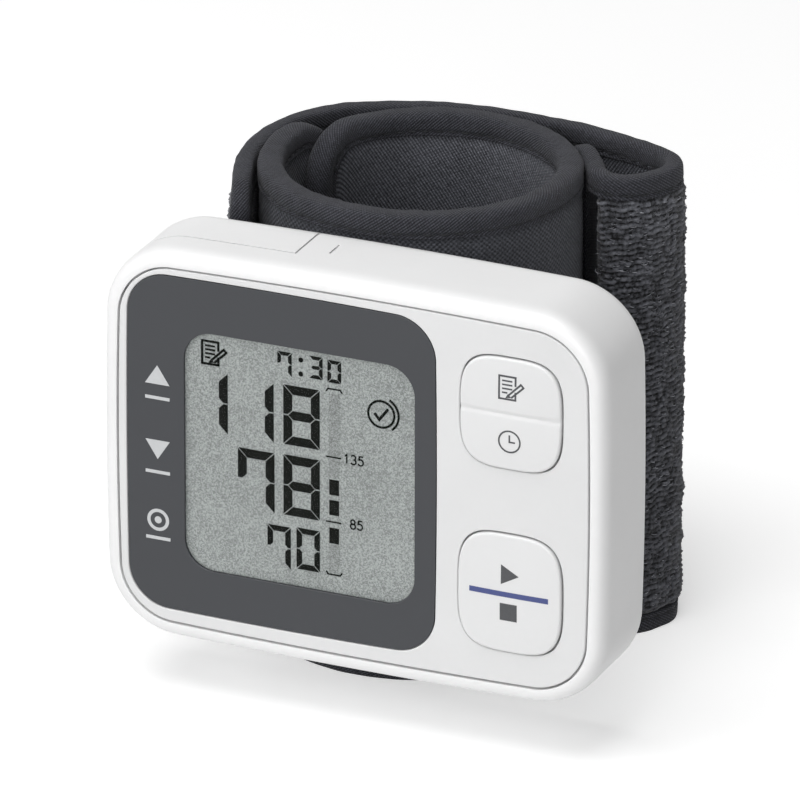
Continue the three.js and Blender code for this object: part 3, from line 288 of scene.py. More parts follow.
def carved(piece, tools, operation="DIFFERENCE"):
    """The piece with each of the tools cut out of it, joined to it or kept in common with it."""
    for tool in tools:
        step = piece.modifiers.new("cut", "BOOLEAN")
        step.operation = operation
        step.solver = "EXACT"
        step.object = tool
        bpy.context.view_layer.update()
        baked(piece)
        bpy.data.objects.remove(tool)
    piece.data.shade_smooth()
    return piece


def plate(name, outline, y0, y1, base=body_base):
    """A prism between two depths whose section is the outline."""
    return skin(name, np.stack([at_depth(outline, y0), at_depth(outline, y1)]), base)


def oblong(x0, x1, z0, z1):
    """The outline of a rectangle."""
    return np.array([(x0, z0), (x1, z0), (x1, z1), (x0, z1)], float)


def block(name, x0, x1, y0, y1, z0, z1, base=body_base):
    """A box between two corners."""
    return plate(name, oblong(x0, x1, z0, z1), y0, y1, base)


def rod(name, radius, y0, y1, x, z, sides=40):
    """A round bar along the depth."""
    turn = np.linspace(0, 2 * np.pi, sides, endpoint=False)
    return plate(name, np.stack([x + radius * np.cos(turn), z + radius * np.sin(turn)], -1), y0, y1)


def softened(piece, width, segments=2, angle=32.0):
    """Rounds the piece's sharp edges to that width in millimetres and evens out the shading beside them."""
    edge = piece.modifiers.new("edges", "BEVEL")
    edge.width = width * MM
    edge.segments = segments
    edge.limit_method = "ANGLE"
    edge.angle_limit = np.radians(angle)
    even = piece.modifiers.new("shading", "WEIGHTED_NORMAL")
    even.keep_sharp = True
    return piece


def dressed(piece, material, body, slot, *nodes):
    """Gives the piece its finish and its body, and says which CAD nodes it stands for."""
    piece.data.materials.clear()
    piece.data.materials.append(material)
    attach(piece, body)
    if nodes:
        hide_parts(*nodes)
    return piece


def body_outline(inset):
    """The housing's outline, moved in by the inset."""
    size = 2 * (half_x - inset), 2 * (half_z - inset)
    return rounded_outline(*size, corner_radius - inset, body_bow, side=48)


def housing_form(name):
    """The housing's whole outside. Round the front the outline is moved in by rim_inset
    (1 - sin a ** rim_power) at depth rim_depth (1 - cos a ** rim_power), and behind by back_radius
    (1 - cos a) at body_depth - back_radius (1 - sin a). The sides and the flat back have rings of their own,
    so that light lies evenly on them."""
    a = np.linspace(0, np.pi / 2, 19)
    sides = np.linspace(rim_depth, body_depth - back_radius, 8)[1:-1]
    front_inset = rim_inset * (1 - np.sin(a) ** rim_power)
    front_depth = rim_depth * (1 - np.maximum(np.cos(a), 0) ** rim_power)
    insets = np.concatenate([front_inset, 0 * sides, back_radius * (1 - np.cos(a))])
    depths = np.concatenate([front_depth, sides, body_depth - back_radius * (1 - np.sin(a))])
    rings = [at_depth(body_outline(inset), depth) for inset, depth in zip(insets, depths)]
    rings += [rings[-1] * (share, 1, share) for share in (0.97, 0.88, 0.72, 0.5, 0.1)]
    return skin(name, np.stack(rings), body_base)


def moulded(name, colour, rough, grain=0.16, relief=0.006):
    """Moulded plastic: one colour with broad, very faint shade, and a fine grain from the mould that
    breaks up the gloss."""
    paint = Finish(name)
    shade = speckle(paint, 14.0, 3.0)
    dust = speckle(paint, 0.7, 4.0, 0.65)
    fine = speckle(paint, grain, 2.0)
    deep = tuple(0.955 * c for c in colour)
    return finished(paint, {
        "Base Color": tinted(paint, over(paint, 0.3, 0.75, 0.75 * shade + 0.25 * dust), colour, deep),
        "Roughness": rough - 0.05 + 0.1 * dust,
        "Normal": raised(paint, fine, relief),
    })


shell_white = moulded("shell_white", (0.87, 0.87, 0.872), 0.34)

front_shell = carved(housing_form("front_shell"), [
    plate("cavity", body_outline(shell_wall), 3.0, 15.4),
    plate("recess", body_outline(rim_inset), -4, 1.8),
    plate("ledge", body_outline(rim_inset + 1.8), -8, 7.0),
    plate("rear_hole", rounded_outline(45.0, 51.0, 4.3, 0, x=11.4), 7, 21),
    block("cover_hole", -45, cover_edge_x, cover_front_y, 21, -40, 40),
    block("latch_groove", cover_edge_x + 4.15, cover_edge_x + 4.45, 7.8, 11.3, 29.15, 40),
])
dressed(softened(front_shell, 0.16), shell_white, "monitor", "shell_white", "main_housing")

# Battery bay: the floor, walls and cradle ribs that are moulded with the shell behind the battery cover,
# and the four posts that the rear cover is screwed to. Same white ABS.

cell_y, cell_1_x, cell_2_x = 10.15, -18.45, -29.75
bay_left, bay_front, bay_back, bay_half_height, bay_wall = -38.3, 3.8, 15.1, 25.95, 1.2
post_places = [(x, z) for x in (-7.8, 30.6) for z in (22.2, -22.2)]


def turned(name, profile, x, y, sides=48):
    """A turned piece that stands along z: rings of the profile's radii at the profile's heights (r, z)."""
    profile = np.asarray(profile, float)
    turn = np.linspace(0, 2 * np.pi, sides, endpoint=False)
    around = np.stack([np.cos(turn), np.sin(turn)], -1)
    flat = np.array([x, y]) + profile[:, :1, None] * around
    height = np.broadcast_to(profile[:, 1, None, None], (*flat.shape[:2], 1))
    return skin(name, np.concatenate([flat, height], -1), body_base)


bay_top = bay_half_height + bay_wall
battery_bay = carved(block("battery_bay", bay_left, cover_edge_x, bay_front, 4.6, -29.4, 29.4), [
    block("bay_side", -12.6, cover_edge_x, bay_front, bay_back, -29.4, 29.4),
    block("bay_head", bay_left, -11.9, bay_front, bay_back, bay_half_height, bay_top),
    block("bay_foot", bay_left, -11.9, bay_front, bay_back, -bay_top, -bay_half_height),
    *[block("cradle", -36.6, -12.0, 4.2, 7.2, z - 0.5, z + 0.5) for z in (-16.0, 0.0, 16.0)],
], "UNION")
battery_bay = carved(battery_bay, [
    *[turned("cell_room", [(5.5, -25.9), (5.5, 25.9)], x, cell_y) for x in (cell_1_x, cell_2_x)],
])
battery_bay = carved(battery_bay, [plate("bay_reach", body_outline(1.86), 3.0, bay_back)], "INTERSECT")
dressed(softened(battery_bay, 0.12), shell_white, "monitor", "shell_white", "main_housing")

for number, (x, z) in enumerate(post_places, 1):
    post = carved(rod(f"screw_post_{number}", 2.2, 3.9, bay_back, x, z), [rod("hole", 1.1, 8.4, 21, x, z)])
    dressed(softened(post, 0.1), shell_white, "monitor", "shell_white", "main_housing")

# Display: a grey liquid-crystal panel in a black frame, on a striped rubber contact strip. Its segments
# are dark, with a fine grain in the glass behind them, and they stand just in front of the panel.

lcd_paint = Finish("lcd_glass")
lcd_grain = speckle(lcd_paint, 0.22, 3.0, 0.8)
lcd_cloud = speckle(lcd_paint, 9.0, 2.0)
lcd_glass = finished(lcd_paint, {
    "Base Color": tinted(lcd_paint, over(lcd_paint, 0.42, 0.6, 0.92 * lcd_grain + 0.08 * lcd_cloud),
                         (0.245, 0.264, 0.257), (0.56, 0.60, 0.587)),
    "Roughness": 0.42 + 0.16 * lcd_grain,
})
black_plastic = moulded("black_plastic", (0.03, 0.03, 0.033), 0.5, 0.25, 0.01)


def carried(node, material, edge=0.12):
    """A CAD node that keeps its shape: it gets its finish, small round edges and even shading."""
    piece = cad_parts[node]
    piece.data.materials.clear()
    piece.data.materials.append(material)
    joined = piece.modifiers.new("joined", "WELD")
    joined.merge_threshold = 0.001 * MM
    return softened(piece, edge, 2, 38.0)


carried("lcd_holder", black_plastic)


def coordinate(paint, axis):
    """One of the object's own coordinates, in metres."""
    place = paint.node("ShaderNodeTexCoord", output="Object")
    return paint.node("ShaderNodeSeparateXYZ", {}, {0: place}, axis)


stripes_per_metre = 9000.0
strip_paint = Finish("contact_strip")
strip_angle = coordinate(strip_paint, "Z") * stripes_per_metre
strip_stripes = strip_paint.node("ShaderNodeMath", {"operation": "SINE"}, {0: strip_angle})
contact_rubber = finished(strip_paint, {
    "Base Color": tinted(strip_paint, over(strip_paint, -0.2, 0.2, strip_stripes),
                         (0.45, 0.46, 0.47), (0.03, 0.03, 0.03)),
    "Roughness": 0.6 + 0.1 * speckle(strip_paint, 1.5),
})
strip_corners = np.array([list(corner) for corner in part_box("lcd_connector")]) / MM
contact_strip = block("contact_strip", *strip_corners.T.ravel(), base=(0, 0, 0))
dressed(softened(contact_strip, 0.2), contact_rubber, "monitor", "silicone", "lcd_connector")


def inlaid(name, outlines, y0, y1):
    """Thin flat pieces between two depths, one over each outline of (x, z)."""
    points, faces, start = [], [], 0
    for outline in outlines:
        outline = np.asarray(outline, float)
        count = len(outline)
        here = start + np.arange(count)
        beside = start + (np.arange(count) + 1) % count
        points += [at_depth(outline, y0), at_depth(outline, y1)]
        faces += [here.tolist(), (here + count)[::-1].tolist()]
        faces += np.stack([here, here + count, beside + count, beside], -1).tolist()
        start += 2 * count
    return meshed(name, np.concatenate(points), faces, body_base, smooth=False)


def line(points, width):
    """The outline of a pen line of that width through the points, with mitred corners."""
    points = np.asarray(points, float)
    way = np.diff(points, axis=0)
    way /= np.linalg.norm(way, axis=1)[:, None]
    ahead, behind = np.vstack([way, way[-1:]]), np.vstack([way[:1], way])
    both = ahead + behind
    side = np.stack([-both[:, 1], both[:, 0]], -1) * width / 2 / (1 + (ahead * behind).sum(1))[:, None]
    return np.vstack([points + side, (points - side)[::-1]])


def arc(x, z, radius_x, radius_z, start, end, steps=24):
    """Points on an oval from one angle in degrees to another."""
    turn = np.radians(np.linspace(start, end, steps))
    return np.stack([x + radius_x * np.cos(turn), z + radius_z * np.sin(turn)], -1)


def ring(x, z, radius, pen):
    """A round line, as the outlines of its two halves."""
    return [line(arc(x, z, radius, radius, start, start + 180), pen) for start in (90, 270)]


def dot(x, z, radius):
    """The outline of a small disc."""
    return arc(x, z, radius, radius, 0, 345, 16)


def digit(lit, x0, x1, z0, z1, stroke, gap=0.1):
    """The lit bars of a seven-bar digit in a box. Each bar is a piece of the frame of that stroke, cut
    slantwise where it meets the next. Bars a to g run round from the top, with g in the middle, and b to e
    are the upper bars turned over."""
    w, h, t, g = (x1 - x0) / 2, (z1 - z0) / 2, stroke, gap
    top = [(g - w, h), (w - g, h), (w - t - g, h - t), (t + g - w, h - t)]
    side = [(-w, h - g), (-w, g), (t / 2 - w, g), (t - w, t / 2 + g), (t - w, h - t - g)]
    middle = [(t / 2 + g - w, 0), (t + g - w, t / 2), (w - t - g, t / 2), (w - t / 2 - g, 0),
              (w - t - g, -t / 2), (t + g - w, -t / 2)]
    bars = {"a": (top, 1, 1), "b": (side, -1, 1), "c": (side, -1, -1), "d": (top, 1, -1),
            "e": (side, 1, -1), "f": (side, 1, 1), "g": (middle, 1, 1)}
    return [np.array(bars[bar][0]) * bars[bar][1:] + ((x0 + x1) / 2, (z0 + z1) / 2) for bar in lit]


def memo_sign(x, z, size, pen=0.075):
    """A sheet of paper with lines and a pencil across its lower right corner."""
    strokes = [
        line([(-0.5, 0.46), (0.16, 0.46)], pen), line([(-0.5, -0.5), (-0.5, 0.495)], pen),
        line([(-0.535, -0.46), (0.2, -0.46)], pen), line([(0.17, 0.495), (0.17, 0.1)], pen),
        line([(0.17, -0.14), (0.17, -0.495)], pen),
        *[line([(-0.38, level), (0.04, level)], 0.85 * pen) for level in (0.28, 0.12, -0.04)],
        line([(-0.38, -0.2), (-0.16, -0.2)], 0.85 * pen),
        line([(-0.12, -0.3), (0.38, 0.2)], pen), line([(0.0, -0.38), (0.5, 0.1)], pen),
        line([(0.36, 0.24), (0.52, 0.08)], pen), [(-0.24, -0.42), (-0.14, -0.24), (-0.0, -0.38)],
    ]
    return [np.asarray(stroke) * size + np.array([x, z]) for stroke in strokes]


def number_strokes(text, x, z, width, height, step, pen):
    """Small drawn figures in a row: each is one or more pen lines in a box of that width and height."""
    figures = {
        "1": [[(0.2, 0.76), (0.55, 0.98), (0.55, 0)]],
        "3": [arc(0.45, 0.74, 0.4, 0.25, 155, -80), arc(0.43, 0.26, 0.46, 0.27, 85, -155)],
        "5": [[(0.86, 0.98), (0.2, 0.98), (0.12, 0.52)], arc(0.42, 0.32, 0.46, 0.33, 130, -155)],
        "8": [arc(0.5, 0.75, 0.36, 0.24, 90, 270), arc(0.5, 0.75, 0.36, 0.24, 270, 450),
              arc(0.5, 0.26, 0.44, 0.27, 90, 270), arc(0.5, 0.26, 0.44, 0.27, 270, 450)],
    }
    return [line(np.asarray(stroke) * (width, height) + (x + place * step, z), pen)
            for place, figure in enumerate(text) for stroke in figures[figure]]


def worn(name, first, second, spot, rough, duller, detail=4.0, fine=0.7, between=(0.0, 1.0), more=()):
    """A finish that goes from one colour to another, and gets duller, in spots of that size. Its colour
    changes while the noise is between the two limits."""
    paint = Finish(name)
    wear = speckle(paint, spot, detail, fine)
    colour = tinted(paint, over(paint, *between, wear), first, second)
    return finished(paint, {"Base Color": colour, "Roughness": rough + duller * wear, **dict(more)})


lcd_front_y, display_x = 0.58, -8.1
display_glass = plate("display_glass", rounded_outline(37.5, 38.5, 5.4, x=display_x), lcd_front_y, 3.1)
dressed(softened(display_glass, 0.05), lcd_glass, "monitor", "lcd_glass", "lcd_panel")
display_bars = [
    *digit("bc", -22.6, -19.3, 3.05, 12.5, 1.36), *digit("bc", -15.1, -12.2, 3.05, 12.25, 1.36),
    *digit("abcdefg", -10.7, -5.1, 3.25, 12.35, 1.36),
    *digit("abcf", -17.75, -12.1, -7.8, 1.5, 1.36), *digit("abcdefg", -10.7, -5.1, -7.6, 1.65, 1.36),
    *digit("abcf", -13.2, -9.6, -16.05, -9.5, 0.85), *digit("abcdef", -8.7, -5.1, -15.6, -9.25, 0.85),
    *digit("abcf", -11.6, -9.4, 13.6, 17.3, 0.55, 0.07), *digit("abcdg", -6.75, -4.65, 14.0, 17.4, 0.55, 0.07),
    *digit("abcdef", -3.9, -1.8, 13.85, 17.25, 0.55, 0.07),
    dot(-8.0, 14.35, 0.38), dot(-8.0, 16.5, 0.38),
    *[oblong(-3.63, -2.14, low, high) for low, high in [(-3.3, -0.95), (-6.4, -4.1), (-10.75, -8.35)]],
    line([(-4.1, 12.45), (-3.85, 12.9), (-1.95, 12.9), (-1.65, 12.45)], 0.22),
    line([(-4.1, -15.1), (-3.85, -15.55), (-1.95, -15.55), (-1.65, -15.1)], 0.22),
    line([(-4.15, 2.5), (-1.8, 2.5)], 0.22), line([(-4.15, -7.45), (-1.8, -7.45)], 0.22),
    *memo_sign(-21.35, 15.2, 3.75, 0.095),
    *number_strokes("135", -1.42, 1.95, 0.86, 1.38, 1.12, 0.22),
    *number_strokes("85", -0.42, -7.95, 0.86, 1.38, 1.12, 0.22),
    *ring(4.35, 10.35, 2.0, 0.34), line(arc(4.35, 10.35, 2.66, 2.66, -52, 62), 0.34),
    line([(3.3, 10.4), (4.05, 9.5), (5.4, 11.3)], 0.42),
]
display_dark = worn("display_dark", (0.005, 0.006, 0.005), (0.012, 0.014, 0.012), 2.2, 0.5, 0.1, 3.0, 0.5,
                    more={"Specular IOR Level": 0.05})
dressed(inlaid("display_bars", display_bars, lcd_front_y - 0.05, lcd_front_y - 0.01), display_dark,
        "monitor", "lcd_glass")
display_ghost = worn("display_column", (0.2, 0.215, 0.21), (0.46, 0.49, 0.48), 0.22, 0.42, 0.16, 3.0, 0.8,
                     (0.42, 0.6))
column_boxes = [oblong(-3.7, -2.05, low, high) for low, high in [(2.75, 12.2), (-0.7, 2.2), (-15.3, -11.0)]]
dressed(inlaid("display_column", column_boxes, lcd_front_y - 0.03, lcd_front_y - 0.01), display_ghost,
        "monitor", "lcd_glass")

# Lens and window: a clear acrylic pane behind a charcoal surround that is inlaid in the front panel, with
# the marks for the three readings printed on it in pale grey.

lens_paint = Finish("lens_clear")
lens_smear = speckle(lens_paint, 6.0, 3.0)
lens_clear = finished(lens_paint, {
    "Base Color": tinted(lens_paint, lens_smear, (0.01, 0.01, 0.01), (0.03, 0.03, 0.03)),
    "Roughness": 0.05 + 0.06 * lens_smear, "Alpha": 0.06 + 0.03 * lens_smear, "Specular IOR Level": 0.15,
})
lens_pane = plate("lens_pane", rounded_outline(35.42, 36.42, 4.46, x=display_x), 0.1, 0.5)
dressed(softened(lens_pane, 0.04), lens_clear, "monitor", "lens_clear", "display_lens")

charcoal = moulded("window_charcoal", (0.033, 0.0355, 0.041), 0.38, 0.3, 0.012)
window_outline = rounded_outline(47.7, 51.5, 6.0, 0.3, x=-10.9, z=0.45)
aperture_outline = rounded_outline(35.5, 36.5, 4.5, x=display_x)


def towards(first, second, distance):
    """The first outline with each of its points moved that far towards its partner on the second."""
    way = second - first
    return first + way * (distance / np.linalg.norm(way, axis=1))[:, None]


window_frame = skin("window_frame", np.stack([
    at_depth(window_outline, 0.12), at_depth(window_outline, 0.5), at_depth(aperture_outline, 0.5),
    at_depth(aperture_outline, 0.17), at_depth(towards(aperture_outline, window_outline, 0.05), 0.08),
    at_depth(towards(aperture_outline, window_outline, 0.14), 0.05),
    at_depth(towards(window_outline, aperture_outline, 0.08), 0.05),
]), body_base, wrap=(True, True))
dressed(softened(window_frame, 0.02, 1), charcoal, "monitor", "window_charcoal", "window_plate")

printed_grey = worn("printed_grey", (0.5, 0.51, 0.52), (0.6, 0.61, 0.62), 0.5, 0.45, 0.15)
window_marks = [
    [(-31.9, 9.2), (-28.1, 9.2), (-30.0, 12.1)], [(-31.9, 0.6), (-28.1, 0.6), (-30.0, -2.3)],
    *[line([(-31.9, level), (-28.1, level)], 0.5) for level in (7.1, -4.3, -14.5)],
    *ring(-30.0, -11.7, 1.45, 0.5), dot(-30.0, -11.7, 0.55),
]
dressed(inlaid("window_marks", window_marks, 0.035, 0.06), printed_grey, "monitor", "window_charcoal")

# Front panel: a pale grey-white ABS fascia that drops into the shell's rim, recessed for the window and
# cut through for the lens and the two keys. A fine seam runs round it.

panel_white = moulded("panel_white", (0.745, 0.747, 0.75), 0.34)


def cushion_outline(size, middle, steps=160, power=3.5):
    """A squarish oval: |x / half the width| ** power + |z / half the height| ** power = 1."""
    turn = np.linspace(0, 2 * np.pi, steps, endpoint=False)
    unit = np.stack([np.cos(turn), np.sin(turn)], -1)
    reach = (np.abs(unit) ** power).sum(1) ** (-1 / power)
    return unit * reach[:, None] * (size / 2) + middle


key_gap = 0.21
start_size, start_middle = np.array([15.7, 17.9]), np.array([24.35, -13.25])
rocker_size, rocker_middle = np.array([15.3, 16.7]), np.array([24.35, 14.1])
front_panel = carved(plate("front_fascia", body_outline(rim_inset + seam), 0.0, 1.5), [
    plate("window_seat", rounded_outline(47.9, 51.7, 6.1, 0.3, x=-10.9, z=0.45), -4, 0.8),
    plate("lens_hole", rounded_outline(38.5, 39.5, 6.0, x=display_x), -4, 4),
    plate("start_hole", cushion_outline(start_size + 2 * key_gap, start_middle), -4, 4),
    plate("rocker_hole", cushion_outline(rocker_size + 2 * key_gap, rocker_middle), -4, 4),
])
dressed(softened(front_panel, 0.2, 3), panel_white, "monitor", "panel_grey_white", "front_panel")

# Keys: two moulded caps in the panel's plastic, a plain one below and a rocker above with a soft crease
# across it. Each has a flange behind the panel and stems over its switches. Their signs are printed.

key_white = moulded("key_white", (0.765, 0.767, 0.77), 0.34)
key_edge, key_front, key_crown, crease_depth = 0.35, -0.42, 0.2, 0.22
start_outline = cushion_outline(start_size, start_middle)
rocker_outline = cushion_outline(rocker_size, rocker_middle)


def key_cap(name, outline, middle, crease):
    """A key. Its wall goes up to a quarter-round edge of key_edge, and from there y = key_front - key_crown
    (1 - f f), where f is the share of the way out from its middle. The crease adds to y by its depth times
    exp(-(d / 0.3) ** 2) + 0.5 exp(-d / 1.8), where d is the height over its middle."""
    turn = np.linspace(0, np.pi / 2, 6)
    size = outline.max(0) - outline.min(0)
    edge = 1 - 2 * key_edge * (1 - np.cos(turn)) / size.mean()
    inner = np.linspace(edge[-1], 0.01, 40)[1:]
    edge_depths = key_front + key_edge * (1 - np.sin(turn))
    inner_depths = key_front - key_crown * (1 - (inner / inner[0]) ** 2)
    rings = np.stack([at_depth(middle + share * (outline - middle), depth) for share, depth
                      in zip([1.0, *edge, *inner], [2.3, *edge_depths, *inner_depths])])
    top = np.linspace(0, 1, len(rings))[:, None] > 0.02
    rise = np.abs(rings[:, :, 2] - middle[1])
    rings[:, :, 1] += top * crease * (np.exp(-(rise / 0.3) ** 2) + 0.5 * np.exp(-rise / 1.8))
    return skin(name, rings, body_base)


def key_back(name, outline, middle, stems):
    """The key's flange with its round stems."""
    flange = plate(name, middle + (outline - middle) * 1.115, 1.8, 2.4)
    return carved(flange, [rod("stem", 1.4, 2.1, end, middle[0], z) for z, end in stems], "UNION")


for name, body, node, outline, middle, crease, stems in [
    ("start_key", "start_stop_key", "start_stop_button", start_outline, start_middle, 0.0, [(-13.25, 2.6)]),
    ("rocker_key", "memory_clock_key", "memory_clock_rocker", rocker_outline, rocker_middle, crease_depth,
     [(19.3, 2.8), (8.9, 2.8)]),
]:
    dressed(key_cap(name, outline, middle, crease), key_white, body, "key_white", node)
    back = softened(key_back(f"{name}_back", outline, middle, stems), 0.1)
    dressed(back, key_white, body, "key_white", node)

sign_ink = worn("sign_ink", (0.045, 0.046, 0.05), (0.075, 0.077, 0.083), 0.45, 0.42, 0.15)
sign_blue = worn("sign_blue", (0.045, 0.06, 0.19), (0.06, 0.08, 0.24), 0.45, 0.42, 0.12)


def printed(name, outlines, outline, middle, material, body, crease=0.0):
    """Signs printed on a key: flat pieces cut fine and laid just over the key's crown, by its formula."""
    signs = inlaid(name, outlines, 0.0, 0.04)
    net = bmesh.new()
    net.from_mesh(signs.data)
    bmesh.ops.triangulate(net, faces=net.faces)
    bmesh.ops.subdivide_edges(net, edges=net.edges, cuts=2, use_grid_fill=True)
    net.to_mesh(signs.data)
    net.free()
    flat = np.zeros(len(signs.data.vertices) * 3)
    signs.data.vertices.foreach_get("co", flat)
    spots = flat.reshape(-1, 3) / MM - np.array(body_base)
    away = spots[:, [0, 2]] - middle
    half = (outline.max(0) - outline.min(0)) / 2
    share = np.clip(np.abs(away / half).max(1), 0, 1)
    spots[:, 1] += key_front - 0.025 - key_crown * (1 - share ** 2)
    spots[:, 1] += crease * 0.5 * np.exp(-np.abs(away[:, 1]) / 1.8)
    signs.data.vertices.foreach_set("co", ((spots + np.array(body_base)) * MM).ravel())
    signs.data.update()
    return dressed(signs, material, body, "key_white")


printed("start_bar", [line([(18.35, -13.25), (30.35, -13.25)], 0.8)], start_outline, start_middle, sign_blue,
        "start_stop_key")
printed("start_signs", [[(23.2, -11.75), (23.2, -8.75), (25.9, -10.25)], oblong(23.05, 25.65, -17.25, -14.65)],
        start_outline, start_middle, sign_ink, "start_stop_key")
printed("rocker_signs", [*memo_sign(24.6, 18.2, 3.7), *ring(24.35, 10.1, 1.6, 0.24),
                         line([(24.35, 11.1), (24.35, 10.05), (25.2, 10.05)], 0.24)],
        rocker_outline, rocker_middle, sign_ink, "memory_clock_key", crease_depth)

# Circuit board: glass-fibre board with a green solder mask over its copper tracks, on the posts behind the
# display. It carries the three key switches, the pressure sensor, a processor and small parts.

track_pitch = 0.7 * MM
board_paint = Finish("solder_mask")
board_bend = speckle(board_paint, 9.0, 0.0) * 0.004
board_place = coordinate(board_paint, "X") + coordinate(board_paint, "Z") * 0.5 + board_bend
board_tracks = board_paint.node("ShaderNodeMath", {"operation": "PINGPONG"}, {0: board_place, 1: track_pitch})
board_fields = over(board_paint, 0.49, 0.51, speckle(board_paint, 7.0, 0.0))
copper_under = over(board_paint, 0.0003, 0.0004, board_tracks) * board_fields
board_dust = speckle(board_paint, 0.8, 3.0)
solder_mask = finished(board_paint, {
    "Base Color": tinted(board_paint, 0.75 * copper_under + 0.25 * board_dust,
                         (0.008, 0.07, 0.03), (0.03, 0.19, 0.08)),
    "Roughness": 0.3 + 0.15 * board_dust,
    "Normal": raised(board_paint, copper_under, 0.03),
})
carried("circuit_board", solder_mask, 0.08)
board_parts = inlaid("board_parts", [
    oblong(8.5, 15.5, 0.5, 7.5), oblong(3, 6, 18, 21.5),
    *[oblong(x, x + 1.6, z, z + 0.8) for x in (1.2, 4.2, 7.2) for z in (9.5, 12.0, 14.5)],
], 6.42, 7.3)
dressed(softened(board_parts, 0.08), black_plastic, "monitor", "inner_plastic")


def metal(name, colour, rough):
    """Plain metal with broad clouds in its colour and fine marks in its gloss."""
    paint = Finish(name)
    cloud = speckle(paint, 4.0, 3.0)
    marks = speckle(paint, 0.3, 4.0, 0.75)
    deep = tuple(0.8 * c for c in colour)
    return finished(paint, {
        "Base Color": tinted(paint, over(paint, 0.3, 0.7, cloud), deep, colour),
        "Metallic": 1.0 - 0.1 * marks, "Roughness": rough + 0.2 * marks,
        "Normal": raised(paint, marks, 0.006),
    })


plated_steel = metal("plated_steel", (0.62, 0.61, 0.58), 0.22)
zinc_steel = metal("zinc_steel", (0.5, 0.5, 0.5), 0.3)
for switch in ("tact_switch_start", "tact_switch_memory", "tact_switch_clock"):
    carried(switch, black_plastic, 0.08)
carried("pressure_sensor", black_plastic, 0.15)

# Air system: a small motor pump, a release valve and a manifold that feeds the nipple to the cuff and the
# pressure sensor. Short silicone tubes are pushed over the ports.

carried("air_pump_motor", zinc_steel, 0.3)
carried("air_pump_head", black_plastic, 0.2)
carried("release_valve", plated_steel, 0.2)
carried("air_manifold", black_plastic, 0.2)
carried("air_nipple", black_plastic, 0.08)
silicone = worn("silicone", (0.46, 0.47, 0.45), (0.62, 0.63, 0.61), 2.5, 0.42, 0.15, 3.0, 0.5,
                more={"Subsurface Weight": 0.15, "Subsurface Radius": (0.001, 0.001, 0.001)})


def smooth_line(points, steps=60):
    """A curve through all the points. Each stretch lasts the square root of its length, and its speed at
    each point follows from the stretches on both sides."""
    points = np.asarray(points, float)
    points = np.vstack([2 * points[0] - points[1], points, 2 * points[-1] - points[-2]])
    last = np.sqrt(np.linalg.norm(np.diff(points, axis=0), axis=1))[:, None]
    slope = np.diff(points, axis=0) / last
    speed = slope[:-1] + slope[1:] - (points[2:] - points[:-2]) / (last[:-1] + last[1:])
    t = np.linspace(0, 1, steps, endpoint=False)[:, None, None]
    start, end = points[1:-2], points[2:-1]
    leave, arrive = speed[:-1] * last[1:-1], speed[1:] * last[1:-1]
    run = ((2 * t ** 3 - 3 * t ** 2 + 1) * start + (t ** 3 - 2 * t ** 2 + t) * leave
           + (3 * t ** 2 - 2 * t ** 3) * end + (t ** 3 - t ** 2) * arrive)
    return np.vstack([run.transpose(1, 0, 2).reshape(-1, points.shape[1]), points[-2]])


def swept(name, path, radius, bore=0.0, across=(0, 1, 0), sides=20):
    """A round wire along a path, or a tube if it has a bore. across is a direction never along the path."""
    way = np.gradient(path, axis=0)
    way /= np.linalg.norm(way, axis=1)[:, None]
    first = np.cross(way, across)
    first /= np.linalg.norm(first, axis=1)[:, None]
    second = np.cross(way, first)
    turn = np.linspace(0, 2 * np.pi, sides, endpoint=False)[:, None]
    circle = np.cos(turn) * first[:, None] + np.sin(turn) * second[:, None]
    rings = path[:, None] + radius * circle
    if bore:
        rings = np.concatenate([rings, (path[:, None] + bore * circle)[::-1]])
    return skin(name, rings, body_base, wrap=(bool(bore), True))


for node, path in [
    ("air_tube_pump", [(-0.7, 10.4, -9.1), (6.3, 10.5, -9.1), (13.4, 10.4, -9.1)]),
    ("air_tube_valve", [(-5, 10.4, -3.7), (-5, 10.4, -2.6), (-5, 10.4, -1.5)]),
    ("air_tube_sensor", [(-0.7, 10.4, -5.4), (2.1, 10.4, -5.4), (9.05, 10.4, 0.2), (9.05, 9.4, 10.8),
                         (16, 9.4, 15), (18.8, 9.4, 15)]),
]:
    tube = swept(node.replace("air_", "") + "_hose", smooth_line(path, 16), 1.4, 0.7)
    dressed(tube, silicone, "monitor", "silicone", node)

# Cells: two AAA cells side by side, one upside down, each a steel can in a printed plastic sleeve with a
# bare end. A conical spring presses on each flat end, and plates of plated steel lead to the board.


def cell_finish(name, up):
    """The sleeve is deep blue with a copper-coloured shoulder and a pale ring, and both ends are bare metal.
    The bands follow the height above the cell's middle."""
    paint = Finish(name)
    height = coordinate(paint, "Z") * (1000.0 * up) - up * middle_z
    dust = speckle(paint, 0.6, 4.0, 0.7)
    print_line = over(paint, 10.9, 11.0, height) - over(paint, 11.7, 11.8, height)
    shoulder = over(paint, 11.7, 11.8, height)
    sleeve = tinted(paint, shoulder, (0.012, 0.028, 0.12), (0.42, 0.20, 0.09))
    sleeve = tinted(paint, print_line, sleeve, (0.6, 0.6, 0.62))
    bare = over(paint, 20.75, 20.8, height) + over(paint, 21.6, 21.65, height * -1.0)
    return finished(paint, {
        "Base Color": tinted(paint, bare, sleeve, (0.6, 0.6, 0.6)),
        "Metallic": over(paint, 0.0, 1.0, bare + 0.75 * shoulder),
        "Roughness": 0.2 + 0.18 * dust, "Normal": raised(paint, dust, 0.008),
    })


